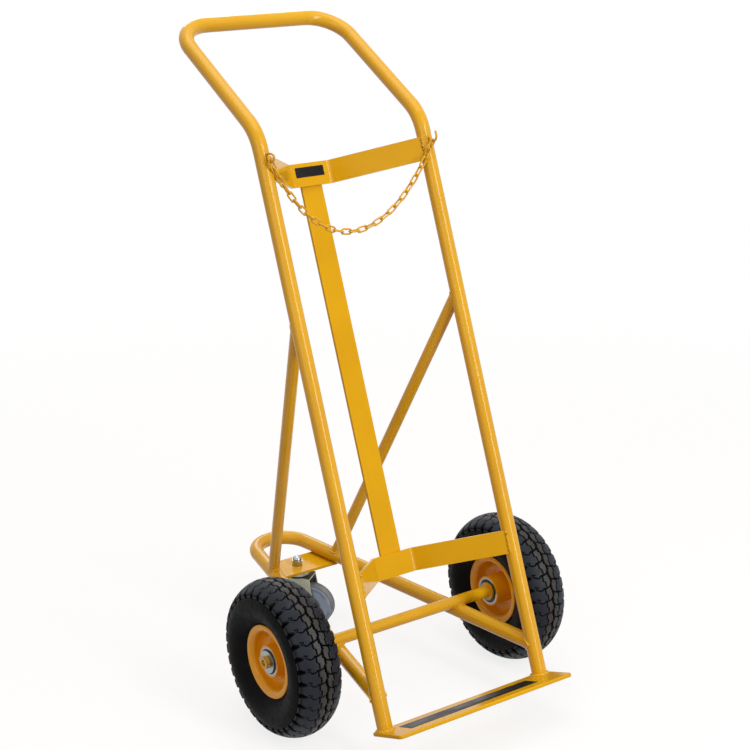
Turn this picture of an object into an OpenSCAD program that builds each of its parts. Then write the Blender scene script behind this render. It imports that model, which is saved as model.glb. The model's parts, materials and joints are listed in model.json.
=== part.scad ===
// Gas cylinder trolley: a welded tube frame on two pneumatic wheels and a rear swivel caster.
// The frame is drawn upright: X to the right seen from the front, Y to the rear, Z along the uprights,
// with the origin on the toe plate midway between the uprights. It is then leaned back until the
// wheels and the caster stand on the floor, which is Z = 0.

/* [Frame tube] */
// Distance between the centres of the two uprights
frame_w = 316; // [280:1:380]
// Outer diameter of the frame tube
tube_od = 25; // [22:0.5:28]
// Wall of the frame tube and of the struts
tube_wall = 2; // [1.5:0.1:3]
// Height from the toe plate to the bend where the handle leans back
upright_h = 949; // [880:1:1050]
// Bend radius between upright and handle, at the centre of the tube
upright_bend_r = 80; // [60:1:110]
// Angle of the handle from the uprights
handle_rake = 40; // [25:1:55]
// Length of the handle from that bend to the grip bar
handle_len = 287; // [240:1:340]
// Bend radius of the grip bar's corners, at the centre of the tube
handle_corner_r = 60; // [45:1:80]

/* [Toe plate] */
// Width of the toe plate
toe_w = 350; // [340:1:420]
// Depth of the toe plate
toe_d = 78; // [60:1:120]
// Thickness of the toe plate
toe_t = 6; // [4:0.5:8]
// How far the toe plate reaches behind the centre of the uprights
toe_back = 12; // [5:1:20]

/* [Cradles] */
// Height of the flat bar of both cradles
cradle_h = 39; // [30:1:50]
// Thickness of the flat bar of the cradles and of the back strip
cradle_t = 5; // [4:0.5:8]
// Width of the flat middle panel of the cradles
cradle_panel_w = 76; // [60:1:100]
// Depth of the cradles, from the uprights' centre to the front of the middle panel
cradle_depth = 117; // [90:1:140]
// Height of the upper cradle's lower edge over the toe plate
upper_cradle_z = 871; // [800:1:880]
// Height of the lower cradle's lower edge over the toe plate
lower_cradle_z = 207; // [190:1:300]
// Thickness left at the wing's end where it runs into the upright
wing_edge = 1; // [0.5:0.1:2]
// Width of the back strip
strip_w = 40; // [30:1:50]
// How far the strip's ends stay inside the cradles' outer edges
strip_inset = 5; // [0:1:15]

/* [Rear loop] */
// Height over the toe plate where the loop's arms meet the uprights
loop_z = 52; // [45:1:60]
// Slope of the loop behind the uprights
loop_slope = 24; // [20:0.5:27]
// Length of the loop from the uprights to the centre of its round end
loop_len = 513; // [480:1:560]
// Radius of the loop's round end, at the centre of the tube
loop_end_r = 52; // [46:1:60]
// Outer diameter of the struts
strut_od = 20; // [16:0.5:22]
// Height over the toe plate where the struts meet the uprights
strut_top_z = 649; // [500:1:750]
// Distance along the loop where the struts stand on its arms
strut_foot_u = 448; // [410:1:470]

/* [Axle] */
// Diameter of the axle tube
axle_d = 20; // [18:0.5:22]
// Bore of the axle tube
axle_bore = 11; // [8:0.5:12]
// Distance of the axle behind the uprights
axle_y = 141.6; // [135:0.1:150]
// Height of the axle over the toe plate
axle_z = 132.4; // [128:0.1:140]
// Distance between the middle planes of the two wheels
wheel_track = 462; // [440:1:520]
// Length of the axle beyond the outer washer
axle_tail = 7; // [6:0.5:20]
// Diameter of the split pins
pin_d = 3.2; // [2.5:0.1:4]
// Turn of the split pins about the axle, from straight down
pin_turn = 110; // [0:5:180]
// Diameter of the collars on the axle
collar_d = 32; // [28:0.5:36]
// Thickness of the collars
collar_t = 4; // [3:0.5:6]
// Diameter of the axle washers
washer_d = 37; // [30:0.5:37.5]
// Thickness of the axle washers
washer_t = 3; // [2:0.5:4]

/* [Wheels] */
// Outer diameter of the tyre, over the tread
tyre_od = 260; // [250:1:275]
// Width of the tyre
tyre_w = 85; // [80:1:92]
// Radius of the sidewall's bulge
sidewall_r = 36; // [34:0.5:38]
// Thickness of the sidewall
sidewall_t = 6; // [4:0.5:8]
// Radius across the crown of the tread
crown_r = 52; // [50:1:56]
// Depth of the tread at the middle
tread_depth = 6; // [4:0.5:8]
// How far the sidewall's bulge stays under the crown of the tread
shoulder_drop = 2; // [1:0.5:4]
// Distance of each bead's inner edge from the tyre's middle
bead_in = 12; // [10:0.5:15]
// Thickness of rubber under the tread
under_tread = 8; // [6:0.5:10]
// Number of tread blocks around each row
tread_count = 36; // [24:1:40]
// Width of the tread, over the shoulder blocks
tread_w = 73; // [70:1:75]
// Width of the notches between the shoulder blocks
notch_w = 5; // [3:0.1:7]
// Distance from the tyre's middle where the notches begin
notch_in = 26; // [24:0.5:30]
// Width of the fine cuts in the shoulder blocks
fine_cut_w = 1.6; // [1:0.1:2.5]
// Depth of the fine cuts
fine_cut_depth = 3; // [2:0.5:4]
// Width of each of the two middle rows of blocks
middle_row_w = 11; // [8:0.5:13]
// Width of the slots between the blocks of the middle rows
middle_slot_w = 2.8; // [2:0.1:4]
// Height of the step at the foot of the notches
slot_step = 2; // [1:0.5:3]
// Width of the grooves that run around the tread
tread_groove = 2.6; // [2:0.1:4]
// Skew of the blocks in the two middle rows
block_skew = 18; // [0:1:25]
// Wall of the inner tube
inner_tube_wall = 2; // [1:0.5:3]
// Diameter of the valve stem
valve_d = 7; // [6:0.5:7.5]
// Radius of the rim's flange
rim_flange_r = 60.6; // [58:0.1:63]
// Radius of the tyre's seat on the rim
rim_seat_r = 50.5; // [48:0.5:52]
// Width of the rim over its flanges
rim_w = 59; // [57:0.5:61]
// Thickness of the rim's sheet
rim_t = 2.5; // [2:0.1:3]
// Thickness of the rim's rounded flange
flange_t = 3.5; // [3:0.1:4]
// Radius of the bowl's wall, under the tyre's seat
rim_wall_r = 47; // [46:0.5:48]
// Radius at which the rounding of the flange ends
flange_round_r = 56; // [54:0.5:57]
// Height of the rounding of the flange
flange_round_h = 9.5; // [7:0.5:11]
// Radius of the flat web around the hub
rim_web_r = 33; // [30:0.5:35]
// Length of the hub inside the wheel's middle plane
hub_in = 38; // [34:0.5:42]
// Length of the hub outside the wheel's middle plane
hub_out = 26; // [22:0.5:28]
// Wall of the hub tube
hub_wall = 2.5; // [2:0.5:4]
// Outer diameter of the wheel bearings
bearing_od = 47; // [45:0.5:50]
// Width of the wheel bearings
bearing_w = 14; // [12:0.5:15]
// Wall of the bearings' outer rings
outer_ring_wall = 2.7; // [2.2:0.1:3]
// Wall of the bearings' inner rings
inner_ring_wall = 3.3; // [2.8:0.1:3.6]
// Number of balls in a wheel bearing
bearing_balls = 8; // [6:1:9]

/* [Caster] */
// Height of the caster from the floor to the plate
caster_h = 110; // [106:0.5:114]
// Width of the caster plate
caster_plate_w = 140; // [120:1:150]
// Depth of the caster plate
caster_plate_d = 60; // [50:1:64]
// Thickness of the caster plate
caster_plate_t = 5; // [4:0.5:8]
// Distance of the kingpin along the loop
kingpin_u = 472; // [462:1:482]
// Diameter of the kingpin bolt
kingpin_d = 12; // [10:0.5:12]
// Diameter of the caster's wheel
caster_wheel_d = 80; // [74:1:84]
// Width of the caster's wheel
caster_wheel_w = 25; // [20:1:28]
// Distance of the wheel's axis from the kingpin
caster_trail = 31; // [26:0.5:34]
// Turn of the caster at rest, from straight ahead
caster_turn = 36; // [0:1:90]
// Thickness of the fork's sheet
fork_t = 3; // [2.5:0.1:4]
// Distance of the fork's front edge from the kingpin
fork_front = 30; // [26:0.5:38]
// Distance of the fork's rear edge from the kingpin
fork_back = 16; // [12:0.5:20]
// Radius of the fork's eyes around the wheel's bolt
fork_eye_r = 12; // [9:0.5:13]
// Diameter of the fork's round crown and of the top race
fork_crown_d = 48; // [44:1:54]
// Height of the swivel head between plate and fork
swivel_h = 12; // [10:0.5:14]
// Diameter of the swivel balls
swivel_ball_d = 6; // [5:0.5:7]
// Number of swivel balls
swivel_balls_n = 16; // [12:1:16]
// Diameter of the caster wheel's bolt
caster_bolt_d = 8; // [6:0.5:10]
// Thickness of the rubber tread of the caster's wheel
caster_tread_t = 7; // [5:0.5:9]
// Outer radius of the recess around the caster wheel's hub
caster_recess_r = 21; // [18:0.5:25]
// Wall of the caster wheel's hub around its bush
caster_hub_wall = 6; // [4:0.5:8]

/* [Chain] */
// Number of links, an odd number
chain_links_n = 27; // [23:2:31]
// Pitch of the chain, the inside length of a link
link_pitch = 16; // [15:0.5:18]
// Diameter of the link's wire
link_wire = 3; // [2.5:0.1:3.2]
// Outside width of a link
link_w = 11; // [10:0.5:12]
// Height of the chain's anchors over the toe plate
anchor_z = 907; // [860:1:910]
// Radius of the eye and of the hook, at the centre of the rod
anchor_r = 10; // [10:0.5:12]
// Diameter of the rod of the eye and of the hook
anchor_d = 3.5; // [3:0.1:4]
// Height of the hook's prong over its bend
prong_h = 15; // [10:1:25]

/* [Clearances] */
// Gap left for the weld where one piece stands on another
weld_gap = 0.1; // [0.05:0.01:0.3]
// Radial clearance of a seat that doesn't move
seat_gap = 0.05; // [0.02:0.01:0.1]
// Radial clearance of a running fit
run_gap = 0.05; // [0.02:0.01:0.1]
// Free gap between pieces that move past each other
free_gap = 0.5; // [0.3:0.1:0.8]
// Gap between the inner tube and the tyre
tube_gap = 0.3; // [0.1:0.1:0.5]
// Play where two links hang in each other
link_play = 0.1; // [0.05:0.05:0.3]

/* [Hidden] */
$fn = 64;

PAINT = "#e0a91f";
ZINC = "#b9bdc2";
STEEL = "#8d9299";
RUBBER = "#202228";
GREY = "#7c8694";

half_w = frame_w / 2;
tube_r = tube_od / 2;
over = 1;
lap = 2;
swell = 0.15;

// Handle
bend_tangent = upright_bend_r * tan(handle_rake / 2);
grip_y = handle_len * sin(handle_rake);
grip_z = upright_h + handle_len * cos(handle_rake);

// Cradle wings run from the middle panel to a line that touches the front of the upright
panel_half = cradle_panel_w / 2;
wing_reach = norm([half_w - panel_half, cradle_depth]);
wing_angle = atan2(cradle_depth, half_w - panel_half) + asin(tube_r / wing_reach);
wing_len = sqrt(pow(wing_reach, 2) - pow(tube_r, 2)) - sqrt(pow(tube_r, 2) - pow(tube_r - wing_edge, 2));

// Rear loop, in its own plane: arms touch the round end
loop_reach = norm([half_w, loop_len]);
arm_angle = atan2(half_w, loop_len) - asin(loop_end_r / loop_reach);
arm_len = sqrt(pow(loop_reach, 2) - pow(loop_end_r, 2));
arm_start = tube_r / 3;
strut_foot_x = half_w - strut_foot_u * tan(arm_angle);
strut_foot = loop_point([strut_foot_x, strut_foot_u, 0]);
strut_r = strut_od / 2;

// Axle and wheel stack, measured outwards from the middle of the trolley
axle_r = axle_d / 2;
wheel_x = wheel_track / 2;
hub_inner_x = wheel_x - hub_in;
hub_outer_x = wheel_x + hub_out;
axle_end_x = hub_outer_x + washer_t + axle_tail;
pin_x = hub_outer_x + washer_t + axle_tail / 2;
tyre_r = tyre_od / 2;
sidewall_x = tyre_w / 2 - sidewall_r;
sidewall_c = tyre_r - sidewall_r - shoulder_drop;
crown_c = tyre_r - crown_r;
tread_half = tread_w / 2;
shoulder_in = middle_row_w + tread_groove * 1.5;
middle_slot_len = middle_row_w + tread_groove;
flange_x = rim_w / 2 - flange_t;
rim_lip_r = flange_t / 2;
bead_gap = 0.1;
bead_h = 4;
bead_top = sidewall_c - sidewall_r + sidewall_t + bead_h;
tube_inside = sidewall_t + tube_gap + inner_tube_wall;
hub_r = bearing_od / 2 + hub_wall;
race_in = axle_r + inner_ring_wall;
race_out = bearing_od / 2 - outer_ring_wall;
ball_pitch_r = (race_in + race_out) / 2;
track_depth = 0.4;
ball_r = (race_out - race_in) / 2 + track_depth;
seal_t = 1;
seal_inset = 0.5;
valve_x = 7;
valve_stand = 4;
pin_tail = 5;
bowl_steps = 14;
lip_step = 22.5;

// Caster: the plate lies under the loop's arms and the kingpin stands square to it
plate_top = -tube_r - weld_gap;
plate_bottom = plate_top - caster_plate_t;
caster_wheel_r = caster_wheel_d / 2;
caster_axis_z = caster_wheel_r - caster_h;
fork_top = -swivel_h;
fork_bottom = fork_top - fork_t;
fork_side_gap = 2.5;
fork_half = caster_wheel_w / 2 + fork_side_gap;
race_edge = 2.5;
race_ball_r = fork_crown_d / 2 - swivel_ball_d / 2 - race_edge;

// The trolley stands on two circles, so the floor is the line that touches both from below
caster_centre = loop_point([0, kingpin_u - caster_trail * cos(caster_turn), plate_bottom + caster_axis_z]);
stand = [caster_centre[1] - axle_y, caster_centre[2] - axle_z];
lean = atan2(stand[1], stand[0]) + asin((tyre_r - caster_wheel_r) / norm(stand));

// Middle of the leaned trolley, front to rear
front_y = lean_vec([0, -(toe_d - toe_back), -toe_t])[1];
rear_y = max(lean_vec([0, grip_y, grip_z])[1] + tube_r,
             lean_vec(loop_point([0, loop_len + loop_end_r, 0]))[1] + tube_r);
mid_y = (front_y + rear_y) / 2;
lift = tyre_r - lean_vec([0, axle_y, axle_z])[2];

// Chain: every link carries the weight of the links below it, so the slope grows evenly from the middle
link_r = link_w / 2 - link_wire / 2;
link_mid = (chain_links_n - 1) / 2;
chain_rate = solve_rate(0, 1, 40);
link_angles = [for (i = [0:chain_links_n - 1]) atan(chain_rate * (i - link_mid))];
end_angle = -link_angles[0];
rod_offset = anchor_d / 2 + link_play;
anchor_y = -tube_r - weld_gap - anchor_r - anchor_d / 2;
eye_centre = lean_point([0, anchor_y, anchor_z]);
rod_point = [0, eye_centre[1], eye_centre[2] - anchor_r];
chain_start = [-half_w, rod_point[1], rod_point[2] + rod_offset * sin(end_angle)];
anchor_x = half_w - rod_offset * cos(end_angle);

function carcass_at(x) = min(
    crown_c + sqrt(pow(crown_r - tread_depth, 2) - pow(x, 2)),
    sidewall_c + sqrt(pow(sidewall_r, 2) - pow(max(x - sidewall_x, 0), 2))
);
function crown_at(x) = crown_c + sqrt(pow(crown_r, 2) - pow(x, 2));
function lean_vec(p) = [p[0], p[1] * cos(lean) + p[2] * sin(lean), p[2] * cos(lean) - p[1] * sin(lean)];
function lean_point(p) = lean_vec(p) + [0, -mid_y, lift];
function loop_point(p) = [
    p[0],
    p[1] * cos(loop_slope) - p[2] * sin(loop_slope),
    loop_z + p[1] * sin(loop_slope) + p[2] * cos(loop_slope)
];
function add(list, i = 0, stop = -1) = i >= (stop < 0 ? len(list) : stop) ? 0 : list[i] + add(list, i + 1, stop);
function span_at(rate) = link_pitch * add([for (i = [0:chain_links_n - 1]) cos(atan(rate * (i - link_mid)))]);
function solve_rate(low, high, steps) =
    steps == 0 ? (low + high) / 2
    : span_at((low + high) / 2) > frame_w ? solve_rate((low + high) / 2, high, steps - 1)
    : solve_rate(low, (low + high) / 2, steps - 1);
function joint_at(i) = chain_start + link_pitch * [
    add([for (a = link_angles) cos(a)], 0, i),
    0,
    add([for (a = link_angles) sin(a)], 0, i)
];
function bowl(r0, r1, x0, x1, steps) = [
    for (i = [0:steps]) [r0 + (r1 - r0) * sin(90 * i / steps), x0 + (x1 - x0) * (1 - cos(90 * i / steps))]
];
function round_over(r0, r1, x0, x1, steps) = [
    for (i = [0:steps]) [r1 - (r1 - r0) * cos(90 * i / steps), x0 + (x1 - x0) * sin(90 * i / steps)]
];

// Frames of reference

// Stands the upright drawing on its wheels
module lean_back() {
    translate([0, -mid_y, lift])
        rotate([-lean, 0, 0])
            children();
}

// Plane of the rear loop: Y runs up the slope, Z is square to it
module in_loop() {
    translate([0, 0, loop_z])
        rotate([loop_slope, 0, 0])
            children();
}

// Under the caster plate, with Z along the kingpin
module in_caster() {
    in_loop()
        translate([0, kingpin_u, plate_bottom])
            children();
}

// Turned with the fork: the wheel trails towards -Y
module in_fork() {
    in_caster()
        rotate([0, 0, caster_turn])
            children();
}

// Axis of the caster's wheel, with Z along the axle
module on_caster_axis() {
    in_fork()
        translate([0, -caster_trail, caster_axis_z])
            rotate([0, 90, 0])
                children();
}

// Drawn for the right side and mirrored for the left one
module on_side(side) {
    mirror([side < 0 ? 1 : 0, 0, 0])
        children();
}

// Turned about the axle: Z points outwards from the trolley
module about_axle(side, x = 0) {
    on_side(side)
        translate([x, axle_y, axle_z])
            rotate([0, 90, 0])
                children();
}

// Shared shapes

module tube(len, od, wall) {
    difference() {
        cylinder(h = len, d = od);
        translate([0, 0, -over])
            cylinder(h = len + 2 * over, d = od - 2 * wall);
    }
}

// Runs of bent tube are drawn from end to end: each piece starts where the one before it ends,
// along Z, and a bend turns towards X

module run_straight(len) {
    tube(len, tube_od, tube_wall);
    translate([0, 0, len])
        children();
}

// A bend swells a hair over the straight tube and reaches over its ends, so that they join
module bend_arc(radius, angle) {
    reach = lap / radius * 180 / PI;
    rotate([0, 0, -reach])
        rotate_extrude(angle = angle + 2 * reach)
            translate([radius, 0])
                difference() {
                    circle(r = tube_r + swell);
                    circle(r = tube_r - tube_wall - swell);
                }
}

module run_bend(radius, angle) {
    translate([radius, 0, 0]) {
        rotate([90, 0, 180])
            bend_arc(radius, angle);
        rotate([0, angle, 0])
            translate([-radius, 0, 0])
                children();
    }
}

module ring(h, d_out, d_in) {
    tube(h, d_out, (d_out - d_in) / 2);
}

module upright_bar(d) {
    translate([half_w, 0, -toe_t - over])
        cylinder(h = upright_h, d = d);
}

module arm_bar(d) {
    in_loop()
        translate([half_w, 0, 0])
            rotate([0, 0, arm_angle])
                rotate([-90, 0, 0])
                    cylinder(h = arm_len, d = d);
}

module axle_bar(d, len) {
    translate([0, axle_y, axle_z])
        rotate([0, 90, 0])
            cylinder(h = len, d = d, center = true);
}

module hexagon(across) {
    circle(d = across / cos(30), $fn = 6);
}

// Welded frame

// One upright with its half of the handle, up to the grip bar
module half_main_tube() {
    translate([half_w, 0, -toe_t])
        rotate([0, 0, 90])
            run_straight(toe_t + upright_h - bend_tangent)
                run_bend(upright_bend_r, handle_rake)
                    run_straight(handle_len - handle_corner_r - bend_tangent)
                        rotate([0, 0, 90])
                            run_bend(handle_corner_r, 90)
                                children();
}

module main_tube() {
    color(PAINT)
        lean_back() {
            half_main_tube()
                run_straight(frame_w - 2 * handle_corner_r);
            mirror([1, 0, 0])
                half_main_tube();
        }
}

// The uprights stand in notches in the plate's rear edge
module toe_plate() {
    notch = tube_od + 2 * weld_gap;
    color(PAINT)
        lean_back()
            difference() {
                translate([-toe_w / 2, toe_back - toe_d, -toe_t])
                    cube([toe_w, toe_d, toe_t]);
                for (side = [-1, 1])
                    on_side(side) {
                        upright_bar(notch);
                        translate([half_w - notch / 2, 0, -toe_t - over])
                            cube([notch, toe_back + over, toe_t + 2 * over]);
                    }
            }
}

// Cradle seen from above: middle panel and two wings, with mitred bends
module cradle_outline() {
    corner = cradle_t * tan(wing_angle / 2);
    along = [cos(wing_angle), -sin(wing_angle)];
    behind = [sin(wing_angle), cos(wing_angle)];
    bend = [panel_half, cradle_depth];
    right = [
        bend,
        bend + wing_len * along,
        bend + wing_len * along + cradle_t * behind,
        [panel_half + corner, cradle_depth + cradle_t]
    ];
    left = [for (i = [len(right) - 1:-1:0]) [-right[i][0], right[i][1]]];
    polygon(concat(right, left));
}

module cradle(z) {
    color(PAINT)
        lean_back()
            difference() {
                translate([0, 0, z])
                    linear_extrude(cradle_h)
                        cradle_outline();
                for (side = [-1, 1])
                    on_side(side)
                        upright_bar(tube_od + 2 * weld_gap);
            }
}

module upper_cradle() {
    cradle(upper_cradle_z);
}

module lower_cradle() {
    cradle(lower_cradle_z);
}

module back_strip() {
    bottom = lower_cradle_z + strip_inset;
    top = upper_cradle_z + cradle_h - strip_inset;
    color(PAINT)
        lean_back()
            translate([-strip_w / 2, cradle_depth + cradle_t, bottom])
                cube([strip_w, cradle_t, top - bottom]);
}

// Drawn from the centre of the loop's round end
module rear_loop() {
    color(PAINT)
        lean_back()
            difference() {
                in_loop()
                    translate([0, loop_len, 0]) {
                        rotate([0, 0, arm_angle])
                            bend_arc(loop_end_r, 180 - 2 * arm_angle);
                        for (side = [-1, 1])
                            on_side(side)
                                rotate([0, 0, arm_angle])
                                    translate([loop_end_r, 0, 0])
                                        rotate([90, 0, 0])
                                            tube(arm_len - arm_start, tube_od, tube_wall);
                    }
                for (side = [-1, 1])
                    on_side(side)
                        upright_bar(tube_od + 2 * weld_gap);
                axle_bar(axle_d + 2 * weld_gap, wheel_track);
            }
}

module strut(side) {
    run = strut_foot - [half_w, 0, strut_top_z];
    color(PAINT)
        lean_back()
            on_side(side)
                difference() {
                    translate([half_w, 0, strut_top_z])
                        rotate([0, acos(run[2] / norm(run)), atan2(run[1], run[0])])
                            tube(norm(run), strut_od, tube_wall);
                    upright_bar(tube_od + 2 * weld_gap);
                    arm_bar(tube_od + 2 * weld_gap);
                }
}

module left_strut() {
    strut(-1);
}

module right_strut() {
    strut(1);
}

module caster_plate() {
    color(PAINT)
        lean_back()
            in_caster()
                difference() {
                    translate([-caster_plate_w / 2, -caster_plate_d / 2, 0])
                        cube([caster_plate_w, caster_plate_d, caster_plate_t]);
                    translate([0, 0, -over])
                        cylinder(h = caster_plate_t + 2 * over, d = kingpin_d + 2 * seat_gap);
                }
}

module wheel_axle() {
    color(PAINT)
        lean_back()
            difference() {
                axle_bar(axle_d, 2 * axle_end_x);
                axle_bar(axle_bore, 2 * axle_end_x + 2 * over);
                for (side = [-1, 1])
                    about_axle(side, pin_x)
                        rotate([0, 90, pin_turn])
                            cylinder(h = axle_d + 2 * over, d = pin_d + 2 * seat_gap, center = true);
            }
}

module axle_collars() {
    color(PAINT)
        lean_back()
            for (side = [-1, 1])
                about_axle(side, hub_inner_x - collar_t)
                    ring(collar_t, collar_d, axle_d + 2 * seat_gap);
}

module axle_washers() {
    color(ZINC)
        lean_back()
            for (side = [-1, 1])
                about_axle(side, hub_outer_x)
                    ring(washer_t, washer_d, axle_d + 2 * seat_gap);
}

// A split pin: one leg through the axle and an eye at its head
module split_pins() {
    eye_r = pin_d;
    eye_at = axle_r + eye_r + pin_d / 4 + seat_gap;
    tail = axle_r + pin_tail;
    color(ZINC)
        lean_back()
            for (side = [-1, 1])
                about_axle(side, pin_x)
                    rotate([0, 0, pin_turn]) {
                        rotate([0, 90, 0])
                            translate([0, 0, -tail])
                                cylinder(h = tail + eye_at - eye_r, d = pin_d);
                        translate([eye_at, 0, 0])
                            rotate_extrude()
                                translate([eye_r, 0])
                                    circle(d = pin_d / 2);
                    }
}

// Wheel bearings: both rings carry half of the ball's track

module ring_with_track(r_in, r_out) {
    rotate_extrude()
        difference() {
            translate([r_in, 0])
                square([r_out - r_in, bearing_w]);
            translate([ball_pitch_r, bearing_w / 2])
                circle(r = ball_r + 2 * run_gap);
        }
}

module at_bearings(side) {
    for (x = [hub_inner_x, hub_outer_x - bearing_w])
        about_axle(side, x)
            children();
}

module bearing_inner_rings() {
    color(STEEL)
        lean_back()
            for (side = [-1, 1])
                at_bearings(side)
                    ring_with_track(axle_r + seat_gap, race_in);
}

module bearing_rings(side) {
    color(STEEL)
        lean_back()
            at_bearings(side)
                ring_with_track(race_out, bearing_od / 2);
}

module bearing_ball_set(side) {
    color(STEEL)
        lean_back()
            at_bearings(side)
                for (i = [0:bearing_balls - 1])
                    rotate([0, 0, 360 * i / bearing_balls])
                        translate([ball_pitch_r, 0, bearing_w / 2])
                            sphere(r = ball_r);
}

module bearing_seal_set(side) {
    color(RUBBER)
        lean_back()
            at_bearings(side)
                for (z = [seal_inset, bearing_w - seal_inset - seal_t])
                    translate([0, 0, z])
                        ring(seal_t, 2 * (race_out - seat_gap), 2 * (race_in + free_gap));
}

// Tyre, seen in section: first axis is the radius, second axis runs across the wheel

module carcass_section(inset, depth) {
    intersection() {
        union() {
            for (x = [-sidewall_x, sidewall_x])
                translate([sidewall_c, x])
                    circle(r = sidewall_r - inset);
            translate([sidewall_c - sidewall_r + inset, -sidewall_x])
                square([2 * (sidewall_r - inset), 2 * sidewall_x]);
        }
        translate([crown_c, 0])
            circle(r = crown_r - depth);
    }
}

module tread_section() {
    intersection() {
        translate([crown_c, 0])
            circle(r = crown_r);
        translate([sidewall_c, -tread_half])
            square([sidewall_r + shoulder_drop + over, tread_w]);
    }
}

module bead_section() {
    for (x = [bead_in, bead_gap - flange_x])
        translate([rim_seat_r + bead_gap, x])
            square([bead_top - rim_seat_r, flange_x - bead_gap - bead_in]);
}

module tyre_section() {
    difference() {
        union() {
            carcass_section(0, tread_depth);
            tread_section();
            bead_section();
        }
        carcass_section(sidewall_t, tread_depth + under_tread);
        translate([rim_seat_r, -bead_in])
            square([bead_top - rim_seat_r, 2 * bead_in]);
        for (x = [-shoulder_in, -tread_groove / 2, shoulder_in - tread_groove])
            translate([tyre_r - tread_depth - slot_step / 2, x])
                square([2 * tread_depth, tread_groove]);
    }
}

// Notches that part the shoulder blocks, deepest at the tread's side
module shoulder_notch() {
    foot = carcass_at(tread_half) + slot_step;
    out = tread_half + 2 * over;
    rotate([90, 0, 0])
        linear_extrude(notch_w, center = true)
            polygon([
                [crown_at(notch_in), notch_in],
                [foot, tread_half],
                [foot, out],
                [tyre_r + over, out],
                [tyre_r + over, notch_in]
            ]);
}

// Fine cuts from the outer groove into a shoulder block, square to the crown
module fine_cut() {
    middle = (shoulder_in + notch_in) / 2;
    len = notch_in - shoulder_in;
    translate([crown_at(middle), 0, middle])
        rotate([-block_skew, -asin(middle / crown_r), 0])
            translate([-fine_cut_depth, -fine_cut_w / 2, -len / 2 - over])
                cube([2 * fine_cut_depth, fine_cut_w, len + over]);
}

// Skewed slots that part the blocks of a middle row
module middle_slot() {
    translate([tyre_r - tread_depth + slot_step / 4, 0, (shoulder_in - tread_groove / 2) / 2])
        rotate([block_skew, 0, 0])
            translate([0, -middle_slot_w / 2, -middle_slot_len / 2])
                cube([tread_depth + over, middle_slot_w, middle_slot_len]);
}

module tyre(side) {
    color(RUBBER)
        lean_back()
            about_axle(side, wheel_x)
                difference() {
                    rotate_extrude()
                        tyre_section();
                    for (row = [0, 1])
                        for (i = [0:tread_count - 1])
                            mirror([0, 0, row])
                                rotate([0, 0, 360 * (i + row / 2) / tread_count]) {
                                    shoulder_notch();
                                    rotate([0, 0, 90 / tread_count])
                                        middle_slot();
                                    rotate([0, 0, 120 / tread_count])
                                        fine_cut();
                                }
                }
}

module inner_tube(side) {
    color(STEEL)
        lean_back()
            about_axle(side, wheel_x)
                rotate_extrude()
                    difference() {
                        carcass_section(sidewall_t + tube_gap, tread_depth + under_tread + tube_gap);
                        carcass_section(tube_inside, tread_depth + under_tread + tube_inside - sidewall_t);
                    }
}

module valve_hole(d) {
    translate([0, 0, -valve_x])
        rotate([-90, 0, 0])
            cylinder(h = sidewall_c - sidewall_r + sidewall_t + tube_gap / 2, d = d);
}

module valve(side) {
    color(STEEL)
        lean_back()
            about_axle(side, wheel_x)
                intersection() {
                    valve_hole(valve_d);
                    difference() {
                        cylinder(h = rim_w, r = tyre_r, center = true);
                        cylinder(h = 2 * rim_w, r = hub_r + valve_stand, center = true);
                    }
                }
}

// Pressed rim: two dished halves, back to back on a web around the hub
module rim_section() {
    edge = rim_w / 2;
    dish = bowl(rim_web_r, rim_wall_r, rim_t, edge - flange_round_h, bowl_steps);
    shoulder = round_over(rim_wall_r, flange_round_r, edge - flange_round_h, edge, bowl_steps);
    lip_c = [rim_flange_r - rim_lip_r, edge - rim_lip_r];
    lip = [for (a = [90:-lip_step:-90]) lip_c + rim_lip_r * [cos(a), sin(a)]];
    well = bowl(rim_web_r + rim_t, rim_seat_r, 0, flange_x - rim_t, bowl_steps);
    outside = concat(
        [[hub_r + seat_gap, rim_t]],
        dish,
        [for (i = [1:bowl_steps]) shoulder[i]],
        lip,
        [[rim_seat_r, flange_x]],
        [for (i = [len(well) - 1:-1:0]) well[i]]
    );
    inside = [for (i = [len(outside) - 2:-1:0]) [outside[i][0], -outside[i][1]]];
    polygon(concat(outside, inside));
}

module rim(side) {
    color(PAINT)
        lean_back()
            about_axle(side, wheel_x)
                difference() {
                    rotate_extrude()
                        rim_section();
                    valve_hole(valve_d + 2 * tube_gap);
                }
}

module hub(side) {
    color(PAINT)
        lean_back()
            about_axle(side, wheel_x - hub_in)
                ring(hub_in + hub_out, 2 * hub_r, bearing_od + 2 * seat_gap);
}

module left_tyre() {
    tyre(-1);
}

module right_tyre() {
    tyre(1);
}

module left_inner_tube() {
    inner_tube(-1);
}

module right_inner_tube() {
    inner_tube(1);
}

module left_valve() {
    valve(-1);
}

module right_valve() {
    valve(1);
}

module left_rim() {
    rim(-1);
}

module right_rim() {
    rim(1);
}

module left_hub() {
    hub(-1);
}

module right_hub() {
    hub(1);
}

module left_bearing_rings() {
    bearing_rings(-1);
}

module right_bearing_rings() {
    bearing_rings(1);
}

module left_bearing_balls() {
    bearing_ball_set(-1);
}

module right_bearing_balls() {
    bearing_ball_set(1);
}

module left_bearing_seals() {
    bearing_seal_set(-1);
}

module right_bearing_seals() {
    bearing_seal_set(1);
}

// Caster

bolt_head_h = 6;
bolt_head_af = 18;
nut_h = 8;
nut_washer_t = 1.5;
dome_inset = 0.5;
dome_r = bolt_head_af / 2 - dome_inset;

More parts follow.
